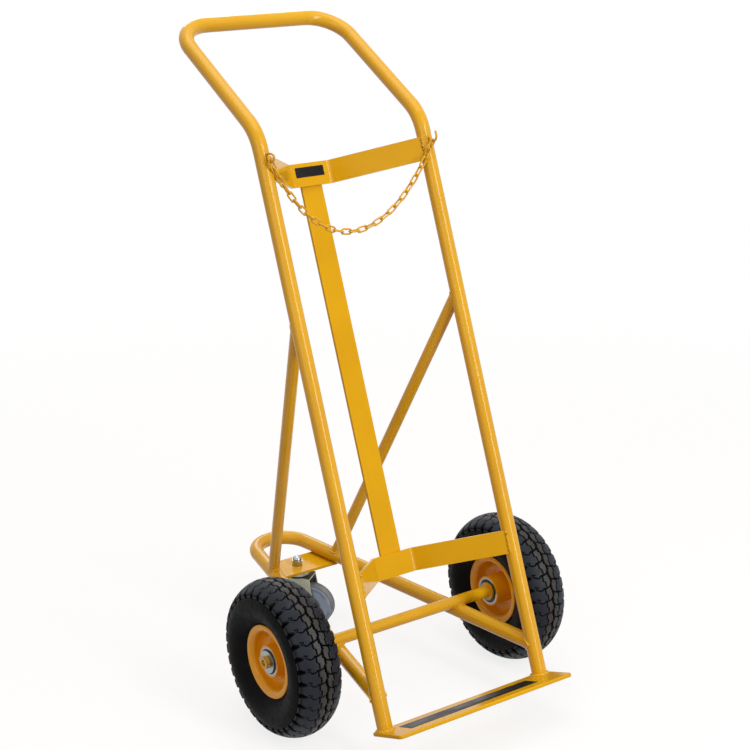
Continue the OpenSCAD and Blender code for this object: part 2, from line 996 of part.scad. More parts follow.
module kingpin_bolt() {
    top = caster_plate_t + nut_washer_t + nut_h;
    color(ZINC)
        lean_back()
            in_caster() {
                translate([0, 0, fork_bottom - free_gap - bolt_head_h])
                    linear_extrude(bolt_head_h)
                        hexagon(bolt_head_af);
                translate([0, 0, fork_bottom - free_gap - over])
                    cylinder(h = top - fork_bottom + free_gap + over, d = kingpin_d);
            }
}

module kingpin_washer() {
    color(ZINC)
        lean_back()
            in_caster()
                translate([0, 0, caster_plate_t])
                    ring(nut_washer_t, bolt_head_af + over, kingpin_d + 2 * seat_gap);
}

// Dome nut: a hexagon with a round cap over the end of the bolt
module kingpin_nut() {
    base = caster_plate_t + nut_washer_t;
    color(ZINC)
        lean_back()
            in_caster()
                translate([0, 0, base])
                    difference() {
                        union() {
                            linear_extrude(nut_h)
                                hexagon(bolt_head_af);
                            translate([0, 0, nut_h])
                                difference() {
                                    sphere(r = dome_r);
                                    translate([0, 0, -dome_r - over])
                                        cylinder(h = dome_r + over, r = 2 * dome_r);
                                }
                        }
                        translate([0, 0, -over])
                            cylinder(h = nut_h + over + seat_gap, d = kingpin_d + 2 * seat_gap);
                    }
}

module swivel_top_race() {
    color(ZINC)
        lean_back()
            in_caster()
                rotate_extrude()
                    difference() {
                        translate([kingpin_d / 2 + seat_gap, fork_top + swivel_ball_d / 2 + free_gap])
                            square([(fork_crown_d - kingpin_d) / 2 - seat_gap, swivel_h - swivel_ball_d / 2 - free_gap]);
                        translate([race_ball_r, fork_top + swivel_ball_d / 2])
                            circle(d = swivel_ball_d + 4 * run_gap);
                    }
}

module swivel_balls() {
    color(STEEL)
        lean_back()
            in_fork()
                for (i = [0:swivel_balls_n - 1])
                    rotate([0, 0, 360 * i / swivel_balls_n])
                        translate([race_ball_r, 0, fork_top + swivel_ball_d / 2])
                            sphere(d = swivel_ball_d);
}

// One side of the fork, seen from the side: from the crown down to the wheel's bolt
module fork_leg_outline() {
    polygon([
        [fork_back, fork_bottom],
        [fork_back, fork_bottom - fork_t],
        [-caster_trail + fork_eye_r, caster_axis_z],
        [-caster_trail - fork_eye_r, caster_axis_z],
        [-fork_front, fork_bottom]
    ]);
    translate([-caster_trail, caster_axis_z])
        circle(r = fork_eye_r);
}

module caster_fork() {
    color(ZINC)
        lean_back()
            difference() {
                in_fork() {
                    difference() {
                        translate([0, 0, fork_bottom])
                            linear_extrude(fork_t)
                                union() {
                                    circle(d = fork_crown_d);
                                    translate([-fork_half - fork_t, -fork_front])
                                        square([2 * (fork_half + fork_t), fork_front + fork_back]);
                                }
                        translate([0, 0, fork_bottom - over])
                            cylinder(h = fork_t + 2 * over, d = kingpin_d + 2 * run_gap);
                    }
                    for (side = [-1, 1])
                        on_side(side)
                            translate([fork_half, 0, 0])
                                rotate([90, 0, 90])
                                    linear_extrude(fork_t)
                                        fork_leg_outline();
                }
                on_caster_axis()
                    cylinder(h = 4 * fork_half, d = caster_bolt_d + 2 * seat_gap, center = true);
            }
}

fork_outer = fork_half + fork_t;
bolt_h = 5;
bolt_end = 2;
bolt_af = 13;

module caster_wheel_bolt() {
    color(ZINC)
        lean_back()
            on_caster_axis() {
                translate([0, 0, -fork_outer])
                    cylinder(h = 2 * fork_outer + bolt_h + bolt_end, d = caster_bolt_d);
                translate([0, 0, -fork_outer - bolt_h])
                    linear_extrude(bolt_h)
                        hexagon(bolt_af);
            }
}

module caster_wheel_nut() {
    color(ZINC)
        lean_back()
            on_caster_axis()
                translate([0, 0, fork_outer])
                    difference() {
                        linear_extrude(bolt_h)
                            hexagon(bolt_af);
                        translate([0, 0, -over])
                            cylinder(h = bolt_h + 2 * over, d = caster_bolt_d + 2 * seat_gap);
                    }
}

core_r = caster_wheel_r - caster_tread_t;
bush_wall = 3;
bush_r = caster_bolt_d / 2 + bush_wall;

// Wheel body with a recess on both sides around its hub
module caster_wheel_core() {
    hub_edge = bush_r + caster_hub_wall;
    recess = caster_wheel_w / 4;
    color(GREY)
        lean_back()
            on_caster_axis()
                rotate_extrude()
                    difference() {
                        translate([bush_r + seat_gap, -caster_wheel_w / 2])
                            square([core_r - bush_r - seat_gap, caster_wheel_w]);
                        for (x = [-caster_wheel_w / 2 - over, caster_wheel_w / 2 - recess])
                            translate([hub_edge, x])
                                square([caster_recess_r - hub_edge, recess + over]);
                    }
}

module caster_wheel_tread() {
    edge = 3;
    color(GREY)
        lean_back()
            on_caster_axis()
                rotate_extrude()
                    polygon([
                        [core_r + seat_gap, -caster_wheel_w / 2],
                        [caster_wheel_r - edge, -caster_wheel_w / 2],
                        [caster_wheel_r, -caster_wheel_w / 2 + edge],
                        [caster_wheel_r, caster_wheel_w / 2 - edge],
                        [caster_wheel_r - edge, caster_wheel_w / 2],
                        [core_r + seat_gap, caster_wheel_w / 2]
                    ]);
}

module caster_wheel_bush() {
    len = 2 * fork_half - 2 * free_gap;
    color(STEEL)
        lean_back()
            on_caster_axis()
                translate([0, 0, -len / 2])
                    ring(len, 2 * bush_r, caster_bolt_d + 2 * run_gap);
}

// Chain and its anchors

// Rod of the eye and the hook, as a part of a circle in the plane square to X
module anchor_bend(angle, turn) {
    rotate([turn, 0, 0])
        rotate([90, 0, -90])
            rotate_extrude(angle = angle)
                translate([anchor_r, 0])
                    circle(d = anchor_d);
}

module chain_eye() {
    color(PAINT)
        translate([-anchor_x, eye_centre[1], eye_centre[2]])
            anchor_bend(360, 0);
}

// Open hook: the lower half of the eye, with a prong that keeps the last link in
module chain_hook() {
    color(PAINT)
        lean_back()
            translate([anchor_x, anchor_y, anchor_z]) {
                anchor_bend(180, 180);
                translate([0, -anchor_r, 0])
                    cylinder(h = prong_h, d = anchor_d);
            }
}

// One oval link lying along X
module chain_link() {
    bow_x = link_pitch / 2 + link_play / 2 + link_wire / 2 - link_r;
    for (side = [-1, 1]) {
        translate([-bow_x, 0, side * link_r])
            rotate([0, 90, 0])
                cylinder(h = 2 * bow_x, d = link_wire);
        on_side(side)
            translate([bow_x, 0, 0])
                rotate([90, 0, 0])
                    rotate([0, 0, -90])
                        rotate_extrude(angle = 180)
                            translate([link_r, 0])
                                circle(d = link_wire);
    }
}

module chain_links() {
    color(PAINT)
        for (i = [0:chain_links_n - 1])
            translate((joint_at(i) + joint_at(i + 1)) / 2)
                rotate([0, -link_angles[i], 0])
                    rotate([90 * (i % 2), 0, 0])
                        chain_link();
}

main_tube();
toe_plate();
upper_cradle();
lower_cradle();
back_strip();
rear_loop();
left_strut();
right_strut();
caster_plate();
wheel_axle();
axle_collars();
axle_washers();
split_pins();
bearing_inner_rings();
chain_eye();
chain_hook();
kingpin_bolt();
kingpin_washer();
kingpin_nut();
swivel_top_race();
left_tyre();
left_inner_tube();
left_valve();
left_rim();
left_hub();
left_bearing_rings();
left_bearing_balls();
left_bearing_seals();
right_tyre();
right_inner_tube();
right_valve();
right_rim();
right_hub();
right_bearing_rings();
right_bearing_balls();
right_bearing_seals();
caster_fork();
swivel_balls();
caster_wheel_bolt();
caster_wheel_nut();
caster_wheel_core();
caster_wheel_tread();
caster_wheel_bush();
chain_links();
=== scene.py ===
"""Looks of a gas cylinder trolley: paint, rubber, plating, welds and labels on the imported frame."""

import json
import math

import bpy
import numpy as np
from mathutils import Matrix, Vector


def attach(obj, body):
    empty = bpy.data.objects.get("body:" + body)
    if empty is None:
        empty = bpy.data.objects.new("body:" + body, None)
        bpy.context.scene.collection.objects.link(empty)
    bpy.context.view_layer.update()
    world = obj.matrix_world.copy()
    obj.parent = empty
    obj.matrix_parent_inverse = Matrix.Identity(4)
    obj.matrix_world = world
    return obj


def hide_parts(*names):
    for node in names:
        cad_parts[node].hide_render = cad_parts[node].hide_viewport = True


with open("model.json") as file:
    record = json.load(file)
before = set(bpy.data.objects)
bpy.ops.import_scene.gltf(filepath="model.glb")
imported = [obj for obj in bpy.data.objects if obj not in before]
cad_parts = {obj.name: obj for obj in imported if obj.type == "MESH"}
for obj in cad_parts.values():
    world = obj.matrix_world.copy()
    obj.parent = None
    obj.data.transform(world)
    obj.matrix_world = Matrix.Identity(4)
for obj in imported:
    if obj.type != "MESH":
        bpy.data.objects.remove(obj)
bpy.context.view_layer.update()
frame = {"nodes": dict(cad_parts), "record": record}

bl_info = {
    "name": "Gas Cylinder Trolley Looks",
    "version": (1, 0, 0),
    "blender": (4, 5, 0),
    "location": "View3D > Sidebar > Trolley",
    "description": "Dresses the packed trolley with finishes, tyres, rims, welds and labels",
    "category": "Object",
}

MM = 0.001
SAME = 1e-6
NODES = frame["nodes"]
JOINTS = {j["name"]: j for j in frame["record"]["behaviour"]["joints"]}
TOE_NORMAL = frame["record"]["mounts"][0]["axis"]
LEAN = math.atan2(TOE_NORMAL[1], TOE_NORMAL[2])


# Sizes and colours


def length(name, default, description):
    return bpy.props.FloatProperty(name=name, description=description, default=default, unit="LENGTH")


def colour(name, default, description):
    return bpy.props.FloatVectorProperty(
        name=name, description=description, subtype="COLOR", size=3, default=default)


class TrolleySizes(bpy.types.PropertyGroup):
    """Sizes of the pieces that dress the trolley; heights are over the toe plate"""

    frame_w: length("Frame width", 0.316, "Distance between the uprights' centres")
    tube_r: length("Tube radius", 0.0125, "Radius of the frame tube")
    loop_z: length("Loop height", 0.052, "Height where the loop's arms meet the uprights")
    loop_slope: bpy.props.FloatProperty(
        name="Loop slope", description="Slope of the loop behind the uprights", default=math.radians(24),
        unit="ROTATION")
    loop_len: length("Loop length", 0.513, "Length of the loop to the centre of its round end")
    loop_end_r: length("Loop end", 0.052, "Radius of the loop's round end")
    strut_r: length("Strut radius", 0.010, "Radius of the struts")
    strut_top_z: length("Strut top", 0.649, "Height where the struts meet the uprights")
    strut_foot_u: length("Strut foot", 0.448, "Distance along the loop where the struts stand on its arms")
    axle_r: length("Axle radius", 0.010, "Radius of the axle bar")
    axle_y: length("Axle setback", 0.1416, "Distance of the axle behind the uprights")
    axle_z: length("Axle height", 0.1324, "Height of the axle")
    weld_r: length("Weld radius", 0.0024, "Half width of a weld bead")
    tyre_r: length("Tyre radius", 0.130, "Outer radius of the tyre")
    tread_count: bpy.props.IntProperty(
        name="Tread blocks", description="Number of tread blocks around each row", default=36, min=12)
    cradle_panel_w: length("Cradle panel", 0.076, "Width of the cradles' middle panel")
    cradle_depth: length("Cradle depth", 0.117, "Depth of the cradles behind the uprights")
    cradle_h: length("Cradle height", 0.039, "Height of the cradles' flat bar")
    upper_cradle_z: length("Upper cradle", 0.871, "Height of the upper cradle's lower edge")
    lower_cradle_z: length("Lower cradle", 0.207, "Height of the lower cradle's lower edge")
    fold_r: length("Fold radius", 0.007, "Inside radius of the cradles' folds")
    toe_back: length("Toe back", 0.012, "Reach of the toe plate behind the uprights' centre")
    toe_corner: length("Toe corner", 0.008, "Radius of the toe plate's front corners")
    toe_edge: length("Toe edge", 0.0016, "Rounding of the toe plate's edges")
    hook_r: length("Hook radius", 0.010, "Radius of the hook's bend")
    prong_h: length("Prong height", 0.006, "Height of the hook's prong over its bend")
    eye_rise: length("Eye rise", 0.003, "Height of the chain eye's flattened top")
    chain_gap: length("Chain gap", 0.016, "Stretch of the upper weld left out for the chain")
    toe_label_x: length("Toe label place", -0.0105, "Middle of the toe plate's label, across")
    toe_label_y: length("Toe label setback", -0.0275, "Middle of the toe plate's label, from front to back")
    toe_label_w: length("Toe label width", 0.257, "Width of the toe plate's label")
    toe_label_d: length("Toe label depth", 0.035, "Depth of the toe plate's label")
    cradle_label_x: length("Cradle label place", -0.0015, "Middle of the cradle's label, across")
    cradle_label_z: length("Cradle label height", 0.8948, "Height of the middle of the cradle's label")
    cradle_label_w: length("Cradle label width", 0.056, "Width of the cradle's label")
    cradle_label_h: length("Cradle label size", 0.017, "Size of the cradle's label from its lower to its upper edge")
    label_t: length("Label thickness", 0.0003, "Thickness of the black labels")


class TrolleyColours(bpy.types.PropertyGroup):
    """Colours of the trolley's finishes"""

    paint: colour("Paint", (0.70, 0.384, 0.007), "Yellow powder coat")
    paint_deep: colour("Deep paint", (0.66, 0.354, 0.006), "Yellow where the coat is thick")
    rim: colour("Rims", (0.86, 0.41, 0.006), "Orange yellow of the rims")
    rim_deep: colour("Deep rims", (0.80, 0.37, 0.005), "Rim paint where the coat is thick")
    sidewall: colour("Sidewall", (0.005, 0.005, 0.0055), "Black of the tyre's sides")
    # The tread's blue tint is painted sheen: it stands in for the bluish reflection of the top light on the blocks.
    tread: colour("Tread", (0.009, 0.012, 0.019), "Blue black of the tread blocks")
    # The grey of the middle block tops is part dust, part painted highlight where light grazes them.
    dust_and_highlight: colour("Tread middle", (0.031, 0.030, 0.030), "Grey of the middle tread blocks")
    zinc: colour("Zinc", (0.36, 0.39, 0.39), "Zinc plate")
    passivated: colour("Passivated zinc", (0.34, 0.34, 0.26), "Yellowish zinc of the caster's fork")
    chrome: colour("Chrome", (0.50, 0.53, 0.58), "Chrome of the dome nut")
    bearing: colour("Bearings", (0.30, 0.31, 0.35), "Steel of the bearings")
    brass: colour("Brass", (0.62, 0.45, 0.18), "Brass of the valves")
    seal: colour("Seals", (0.012, 0.012, 0.013), "Black rubber of the seals and inner tubes")
    caster: colour("Caster wheel", (0.27, 0.37, 0.53), "Grey blue plastic")
    caster_tread: colour("Caster tread", (0.20, 0.225, 0.255), "Grey rubber of the caster's tread")
    label: colour("Label", (0.011, 0.011, 0.012), "Black label film")


def sizes():
    return bpy.context.scene.trolley_sizes


def colours():
    return bpy.context.scene.trolley_colours


# Places: the upright drawing, with its origin on the toe plate, leaned back onto the wheels


def stand(points):
    """Moves points of the upright drawing to where they are on the leaning trolley."""
    p = np.asarray(points, float)
    axle = JOINTS["right_wheel_spin"]["pos_m"]
    c, s = math.cos(LEAN), math.sin(LEAN)
    y = p[..., 1] - sizes().axle_y
    z = p[..., 2] - sizes().axle_z
    return np.stack([p[..., 0], axle[1] + c * y + s * z, axle[2] + c * z - s * y], -1)


def turn(vector):
    """Turns a direction of the upright drawing with the lean."""
    x, y, z = vector
    c, s = math.cos(LEAN), math.sin(LEAN)
    return Vector((x, c * y + s * z, c * z - s * y))


def cradle_lean():
    """Angle at which a cradle's wing leaves the middle panel to touch the upright."""
    s = sizes()
    across = (s.frame_w - s.cradle_panel_w) / 2
    return math.atan2(s.cradle_depth, across) + math.asin(s.tube_r / math.hypot(across, s.cradle_depth))


def arm_angle():
    """Angle of the loop's arms to the middle: they touch its round end."""
    s = sizes()
    half = s.frame_w / 2
    return math.atan2(half, s.loop_len) - math.asin(s.loop_end_r / math.hypot(half, s.loop_len))


# Finishes


def new_finish(name):
    """A material with its node tree and its shader."""
    finish = bpy.data.materials.new(name)
    finish.use_nodes = True
    tree = finish.node_tree
    return finish, tree, tree.nodes["Principled BSDF"]


def node(tree, kind, **inputs):
    made = tree.nodes.new(kind)
    for key, value in inputs.items():
        made.inputs[key.replace("_", " ")].default_value = value
    return made


def speckle(tree, scale, detail=2.0, stretch=None):
    """Noise in the trolley's own coordinates, which turns with each body."""
    place = tree.nodes.new("ShaderNodeTexCoord")
    grain = node(tree, "ShaderNodeTexNoise", Scale=scale, Detail=detail)
    source = place.outputs["Object"]
    if stretch:
        mapping = node(tree, "ShaderNodeMapping", Scale=stretch)
        tree.links.new(source, mapping.inputs["Vector"])
        source = mapping.outputs["Vector"]
    tree.links.new(source, grain.inputs["Vector"])
    return grain.outputs["Fac"]


def two_tones(tree, factor, low, high, start=0.35, end=0.65):
    """A colour that runs from low to high as the factor goes from start to end."""
    ramp = tree.nodes.new("ShaderNodeValToRGB")
    ramp.color_ramp.elements[0].position = start
    ramp.color_ramp.elements[1].position = end
    ramp.color_ramp.elements[0].color = (*low, 1)
    ramp.color_ramp.elements[1].color = (*high, 1)
    tree.links.new(factor, ramp.inputs["Fac"])
    return ramp.outputs["Color"]


def between(tree, factor, low, high, start=0.3, end=0.7):
    """A value that runs from low to high as the factor goes from start to end."""
    spread = tree.nodes.new("ShaderNodeMapRange")
    spread.inputs["From Min"].default_value = start
    spread.inputs["From Max"].default_value = end
    spread.inputs["To Min"].default_value = low
    spread.inputs["To Max"].default_value = high
    tree.links.new(factor, spread.inputs["Value"])
    return spread.outputs["Result"]


def combine(tree, operation, first, second):
    """Arithmetic on two values."""
    made = tree.nodes.new("ShaderNodeMath")
    made.operation = operation
    tree.links.new(first, made.inputs[0])
    tree.links.new(second, made.inputs[1])
    return made.outputs[0]


def surface(tree, shader, tone, rough, bumps, strength, distance):
    """Gives a shader its colour, its roughness and fine bumps."""
    tree.links.new(tone, shader.inputs["Base Color"])
    tree.links.new(rough, shader.inputs["Roughness"])
    bump = node(tree, "ShaderNodeBump", Strength=strength, Distance=distance)
    tree.links.new(bumps, bump.inputs["Height"])
    tree.links.new(bump.outputs["Normal"], shader.inputs["Normal"])


def powder_coat(name, deep, bright, gloss):
    """Powder coat: soft gloss, faint orange peel and a slight drift of tone."""
    finish, tree, shader = new_finish(name)
    tone = two_tones(tree, speckle(tree, scale=9.0, detail=3.0), deep, bright)
    rough = between(tree, speckle(tree, scale=70.0), low=0.14, high=0.19)
    surface(tree, shader, tone, rough, speckle(tree, scale=420.0, detail=1.0), strength=0.005, distance=0.3 * MM)
    shader.inputs["Specular IOR Level"].default_value = gloss
    return finish


def plate(name, tint, rough, streak):
    """Plated metal with fine drawn streaks and a cloudy gloss."""
    finish, tree, shader = new_finish(name)
    cloudy = tuple(v * 0.82 for v in tint)
    tone = two_tones(tree, speckle(tree, scale=45.0, detail=4.0), cloudy, tint)
    uneven = between(tree, speckle(tree, scale=160.0, detail=3.0), low=rough * 0.7, high=rough * 1.5)
    drawn = speckle(tree, scale=300.0, stretch=(1, 1, streak))
    surface(tree, shader, tone, uneven, drawn, strength=0.06, distance=0.2 * MM)
    shader.inputs["Metallic"].default_value = 1.0
    return finish


def moulded(name, tint, rough, grain, depth):
    """Moulded plastic or rubber: matte, with fine grain and a faint bloom."""
    finish, tree, shader = new_finish(name)
    bloom = tuple(min(1.0, v * 1.25 + 0.002) for v in tint)
    tone = two_tones(tree, speckle(tree, scale=30.0, detail=4.0), tint, bloom)
    uneven = between(tree, speckle(tree, scale=90.0, detail=3.0), low=rough * 0.85, high=rough * 1.15)
    surface(tree, shader, tone, uneven, speckle(tree, scale=grain), strength=0.15, distance=depth)
    shader.inputs["Specular IOR Level"].default_value = 0.4
    return finish


def tyre_rubber():
    """Tyre rubber: the colour painted on the mesh tells block tops from grooves and sides, its alpha the gloss."""
    if "moulded_rubber" in bpy.data.materials:
        return bpy.data.materials["moulded_rubber"]
    finish, tree, shader = new_finish("moulded_rubber")
    painted = tree.nodes.new("ShaderNodeVertexColor")
    painted.layer_name = "rubber"
    cloud = two_tones(tree, speckle(tree, scale=40.0, detail=4.0), low=(0.75, 0.75, 0.75), high=(1.2, 1.2, 1.2))
    mix = tree.nodes.new("ShaderNodeMix")
    mix.data_type = "RGBA"
    mix.blend_type = "MULTIPLY"
    mix.inputs["Factor"].default_value = 1.0
    tree.links.new(painted.outputs["Color"], mix.inputs["A"])
    tree.links.new(cloud, mix.inputs["B"])
    uneven = between(tree, speckle(tree, scale=120.0, detail=3.0), low=0.42, high=0.62)
    surface(tree, shader, mix.outputs["Result"], uneven, speckle(tree, scale=900.0), strength=0.18, distance=0.3 * MM)
    tree.links.new(painted.outputs["Alpha"], shader.inputs["Specular IOR Level"])
    return finish


def dress(finish, *names):
    """Puts a finish on CAD nodes."""
    for name in names:
        slots = NODES[name].data.materials
        if len(slots) == 0:
            slots.append(finish)
        for i in range(len(slots)):
            slots[i] = finish


# Shapes


def add_mesh(name, verts, faces, finish, body, smooth_angle):
    """A piece that rides a body, smooth but for edges sharper than an angle in degrees."""
    mesh = bpy.data.meshes.new(name)
    mesh.from_pydata([tuple(v) for v in verts], [], [tuple(f) for f in faces])
    mesh.update()
    mesh.shade_smooth()
    mesh.set_sharp_from_angle(angle=math.radians(smooth_angle))
    mesh.materials.append(finish)
    piece = bpy.data.objects.new(name, mesh)
    bpy.context.scene.collection.objects.link(piece)
    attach(piece, body)
    return piece


def paint(piece, grid):
    """Colours the points of a rubber piece."""
    layer = piece.data.color_attributes.new("rubber", "FLOAT_COLOR", "POINT")
    layer.data.foreach_set("color", grid.astype(np.float32).ravel())


def grid_faces(rows, cols, close_rows, close_cols):
    """Four-sided faces over a grid of points, closed round on either side or left open."""
    faces = []
    for i in range(rows if close_rows else rows - 1):
        for j in range(cols if close_cols else cols - 1):
            a, b = i * cols + j, i * cols + (j + 1) % cols
            c, d = ((i + 1) % rows) * cols + (j + 1) % cols, ((i + 1) % rows) * cols + j
            faces.append((a, b, c, d))
    return faces


def about_axle(radii, across, angles, side):
    """Points of a lathe shape: a grid of angles by profile points, on one wheel's axis."""
    axle = JOINTS["right_wheel_spin"]["pos_m"]
    x = side * (abs(axle[0]) + across)
    y = axle[1] + radii * np.cos(angles)[:, None]
    z = axle[2] + radii * np.sin(angles)[:, None]
    return np.stack([np.broadcast_to(x, y.shape), y, z], -1).reshape(-1, 3)


def bead(path, radius, closed, flat=0.75, ripple=0.13, sides=8):
    """A rope along a path: a weld bead with the ripples that a torch leaves, or a plain rod."""
    path = np.asarray(path, float)
    n = len(path)
    if closed:
        ahead = np.roll(path, -1, 0) - np.roll(path, 1, 0)
    else:
        ahead = np.gradient(path, axis=0)
    ahead /= np.linalg.norm(ahead, axis=1)[:, None]
    centre = path.mean(0)
    out = path - centre
    out -= (out * ahead).sum(1)[:, None] * ahead
    short = np.linalg.norm(out, axis=1) < SAME
    any_way = (0.31, 0.77, 0.55)
    out[short] = np.cross(ahead[short], any_way)
    out /= np.linalg.norm(out, axis=1)[:, None]
    up = np.cross(ahead, out)
    step = np.linalg.norm(np.diff(path, axis=0), axis=1)
    along = np.concatenate([[0], np.cumsum(step)])
    ripple_pitch, drift_rate, drift = 0.0032, 190.0, 0.4
    swell = 1 + ripple * (np.abs(np.sin(along * math.pi / ripple_pitch)) + drift * np.sin(along * drift_rate))
    if not closed:
        taper = radius * (1.5 if ripple else 0.2)
        ends = np.minimum(along, along[-1] - along) / taper
        swell = swell * np.sqrt(np.clip(ends, 0.02, 1))
    ring = np.linspace(0, 2 * math.pi, sides, endpoint=False)
    verts = (path[:, None] + (radius * swell)[:, None, None]
             * (np.cos(ring)[None, :, None] * out[:, None] + flat * np.sin(ring)[None, :, None] * up[:, None]))
    faces = grid_faces(n, sides, closed, True)
    verts = verts.reshape(-1, 3)
    if not closed:
        faces.append(tuple(range(sides - 1, -1, -1)))
        faces.append(tuple(range((n - 1) * sides, n * sides)))
    return verts, faces


def cad_points(name):
    """Corner points of a CAD node where it stands."""
    body = NODES[name]
    return np.array([body.matrix_world @ v.co for v in body.data.vertices])


def join(parts):
    """Several shapes as one."""
    verts, faces, base = [], [], 0
    for v, f in parts:
        verts.append(v)
        faces += [tuple(i + base for i in face) for face in f]
        base += len(v)
    return np.concatenate(verts), faces


def skin_lines(start, along, r, axis_at, axis, R, count):
    """Lines along a tube's skin that run into a round bar.

    Gives each line's angle, a measure of its cut that is below 0 where it misses, the middle of the cut, and the way
    from there to where it leaves the bar.
    """
    along = np.asarray(along, float) / np.linalg.norm(along)
    axis = np.asarray(axis, float) / np.linalg.norm(axis)
    u = np.cross(along, axis)
    u /= np.linalg.norm(u)
    v = np.cross(along, u)
    d0 = along - (along @ axis) * axis
    for a in np.linspace(0, 2 * math.pi, count, endpoint=False):
        p = np.asarray(start) + r * (math.cos(a) * u + math.sin(a) * v)
        q = p - axis_at
        q0 = q - (q @ axis) * axis
        A, B, C = d0 @ d0, 2 * q0 @ d0, q0 @ q0 - R * R
        cut = B * B - 4 * A * C
        yield a, cut, p - B / (2 * A) * along, math.sqrt(max(cut, 0.0)) / (2 * A) * along


def tube_on_tube(start, along, r, axis_at, axis, R, count=72):
    """Where a tube from start, running along a direction, meets a round bar."""
    return [middle + half for _, _, middle, half in skin_lines(start, along, r, axis_at, axis, R, count)]


def bar_over_bar(start, along, r, axis_at, axis, R, count=288):
    """Closed curve where a round bar is let into another one that it crosses."""
    lines = [line for line in skin_lines(start, along, r, axis_at, axis, R, count) if line[1] > 0]
    turns = [line[0] for line in lines]
    gap = int(np.argmax(np.diff(turns + [turns[0] + 2 * math.pi]))) + 1
    lines = lines[gap:] + lines[:gap]
    there = [middle + half for _, _, middle, half in lines]
    back = [middle - half for _, _, middle, half in reversed(lines)]
    return there + back


# Pieces


class TROLLEY_OT_paintwork(bpy.types.Operator):
    """Powder coat on the welded frame, the axle, the rims, the hubs and the chain"""

    bl_idname = "trolley.paintwork"
    bl_label = "Paintwork"

    # Flats are duller than tubes, so that they don't mirror the pale floor
    TUBE_GLOSS, FLAT_GLOSS, RIM_GLOSS = 0.30, 0.09, 0.25

    def execute(self, context):
        c = colours()
        dress(powder_coat("yellow_powder_coat", c.paint_deep, c.paint, self.TUBE_GLOSS),
              "main_tube", "rear_loop", "left_strut", "right_strut", "wheel_axle", "axle_collars", "chain_eye",
              "chain_hook", "chain_links")
        dress(powder_coat("yellow_coat_on_flats", c.paint_deep, c.paint, self.FLAT_GLOSS),
              "toe_plate", "upper_cradle", "lower_cradle", "back_strip", "caster_plate")
        dress(powder_coat("yellow_coat_on_rims", c.rim_deep, c.rim, self.RIM_GLOSS),
              "left_rim", "right_rim", "left_hub", "right_hub")
        return {"FINISHED"}


class TROLLEY_OT_hardware(bpy.types.Operator):
    """Plated fasteners, bearings and valves"""

    bl_idname = "trolley.hardware"
    bl_label = "Hardware"

    def execute(self, context):
        c = colours()
        dress(plate("zinc_plate", c.zinc, rough=0.30, streak=0.2),
              "axle_washers", "split_pins", "kingpin_bolt", "kingpin_washer", "caster_wheel_bolt",
              "caster_wheel_nut", "swivel_top_race")
        dress(plate("passivated_zinc", c.passivated, rough=0.36, streak=0.2), "caster_fork")
        dress(plate("chrome_plate", c.chrome, rough=0.16, streak=1.0), "kingpin_nut")
        dress(plate("bearing_steel", c.bearing, rough=0.14, streak=1.0),
              "bearing_inner_rings", "left_bearing_rings", "right_bearing_rings", "left_bearing_balls",
              "right_bearing_balls", "swivel_balls", "caster_wheel_bush")
        dress(plate("valve_brass", c.brass, rough=0.30, streak=0.5), "left_valve", "right_valve")
        dress(moulded("seal_rubber", c.seal, rough=0.55, grain=500.0, depth=0.0003),
              "left_bearing_seals", "right_bearing_seals", "left_inner_tube", "right_inner_tube")
        return {"FINISHED"}


class TROLLEY_OT_caster_wheel(bpy.types.Operator):
    """Grey plastic core and grey rubber tread of the caster's wheel"""

    bl_idname = "trolley.caster_wheel"
    bl_label = "Caster Wheel"

    def execute(self, context):
        c = colours()
        dress(moulded("caster_core_plastic", c.caster, rough=0.42, grain=400.0, depth=0.0002), "caster_wheel_core")
        dress(moulded("caster_tread_rubber", c.caster_tread, rough=0.60, grain=700.0, depth=0.0003),
              "caster_wheel_tread")
        self.tread()
        return {"FINISHED"}

    def tread(self):
        """Rubber tread with rounded shoulders and two fine grooves by each edge, with painted shade in the grooves."""
        hub = np.array(JOINTS["caster_wheel_spin"]["pos_m"])
        axis = np.array(JOINTS["caster_wheel_spin"]["axis"])
        axis /= np.linalg.norm(axis)
        side = np.cross(axis, (0.0, 0.0, 1.0))
        side /= np.linalg.norm(side)
        up = np.cross(side, axis)
        points = cad_points("caster_wheel_tread") - hub
        half = np.abs(points @ axis).max()
        away = np.linalg.norm(points - np.outer(points @ axis, axis), axis=1)
        inner, outer = away.min(), away.max()
        c = colours()
        # Grooves are painted near black in the grey rubber: painted shade in the recesses.
        tones = ((*c.caster, 0.3), (*c.caster_tread, 0.3), (*c.tread, 0.1))
        flank, rubber, painted_groove_shade = range(len(tones))
        bend, lead, rubber_from = 2.5 * MM, 0.6 * MM, 1.2
        groove_places, groove_slope, groove_deep = (3.4 * MM, 5.4 * MM), 0.3 * MM, 0.5 * MM
        section = [(inner, half, flank), (outer - bend - lead, half, flank)]
        for a in np.radians(np.linspace(0, 90, 7)):
            tone = flank if a < rubber_from else rubber
            section.append((outer - bend + bend * math.sin(a), half - bend + bend * math.cos(a), tone))
        for groove in groove_places:
            for i, (deep, tone) in enumerate(((0, rubber), (groove_deep, painted_groove_shade), (groove_deep, painted_groove_shade), (0, rubber))):
                section.append((outer - deep, half - groove - i * groove_slope, tone))
        section.append((outer, 0.0, rubber))
        section += [(r, -x, tone) for r, x, tone in reversed(section[:-1])]
        grid = np.array([(r, x) for r, x, _ in section])
        turns = np.linspace(0, 2 * math.pi, 96, endpoint=False)
        spokes = np.cos(turns)[:, None] * side + np.sin(turns)[:, None] * up
        verts = (hub + grid[None, :, 0, None] * spokes[:, None] + grid[None, :, 1, None] * axis).reshape(-1, 3)
        faces = [f[::-1] for f in grid_faces(len(turns), len(section), True, True)]
        tread = add_mesh("caster_wheel_tread_moulded", verts, faces, tyre_rubber(), "caster_wheel", 35.0)
        paint(tread, np.tile([tones[tone] for _, _, tone in section], (len(turns), 1)))
        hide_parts("caster_wheel_tread")


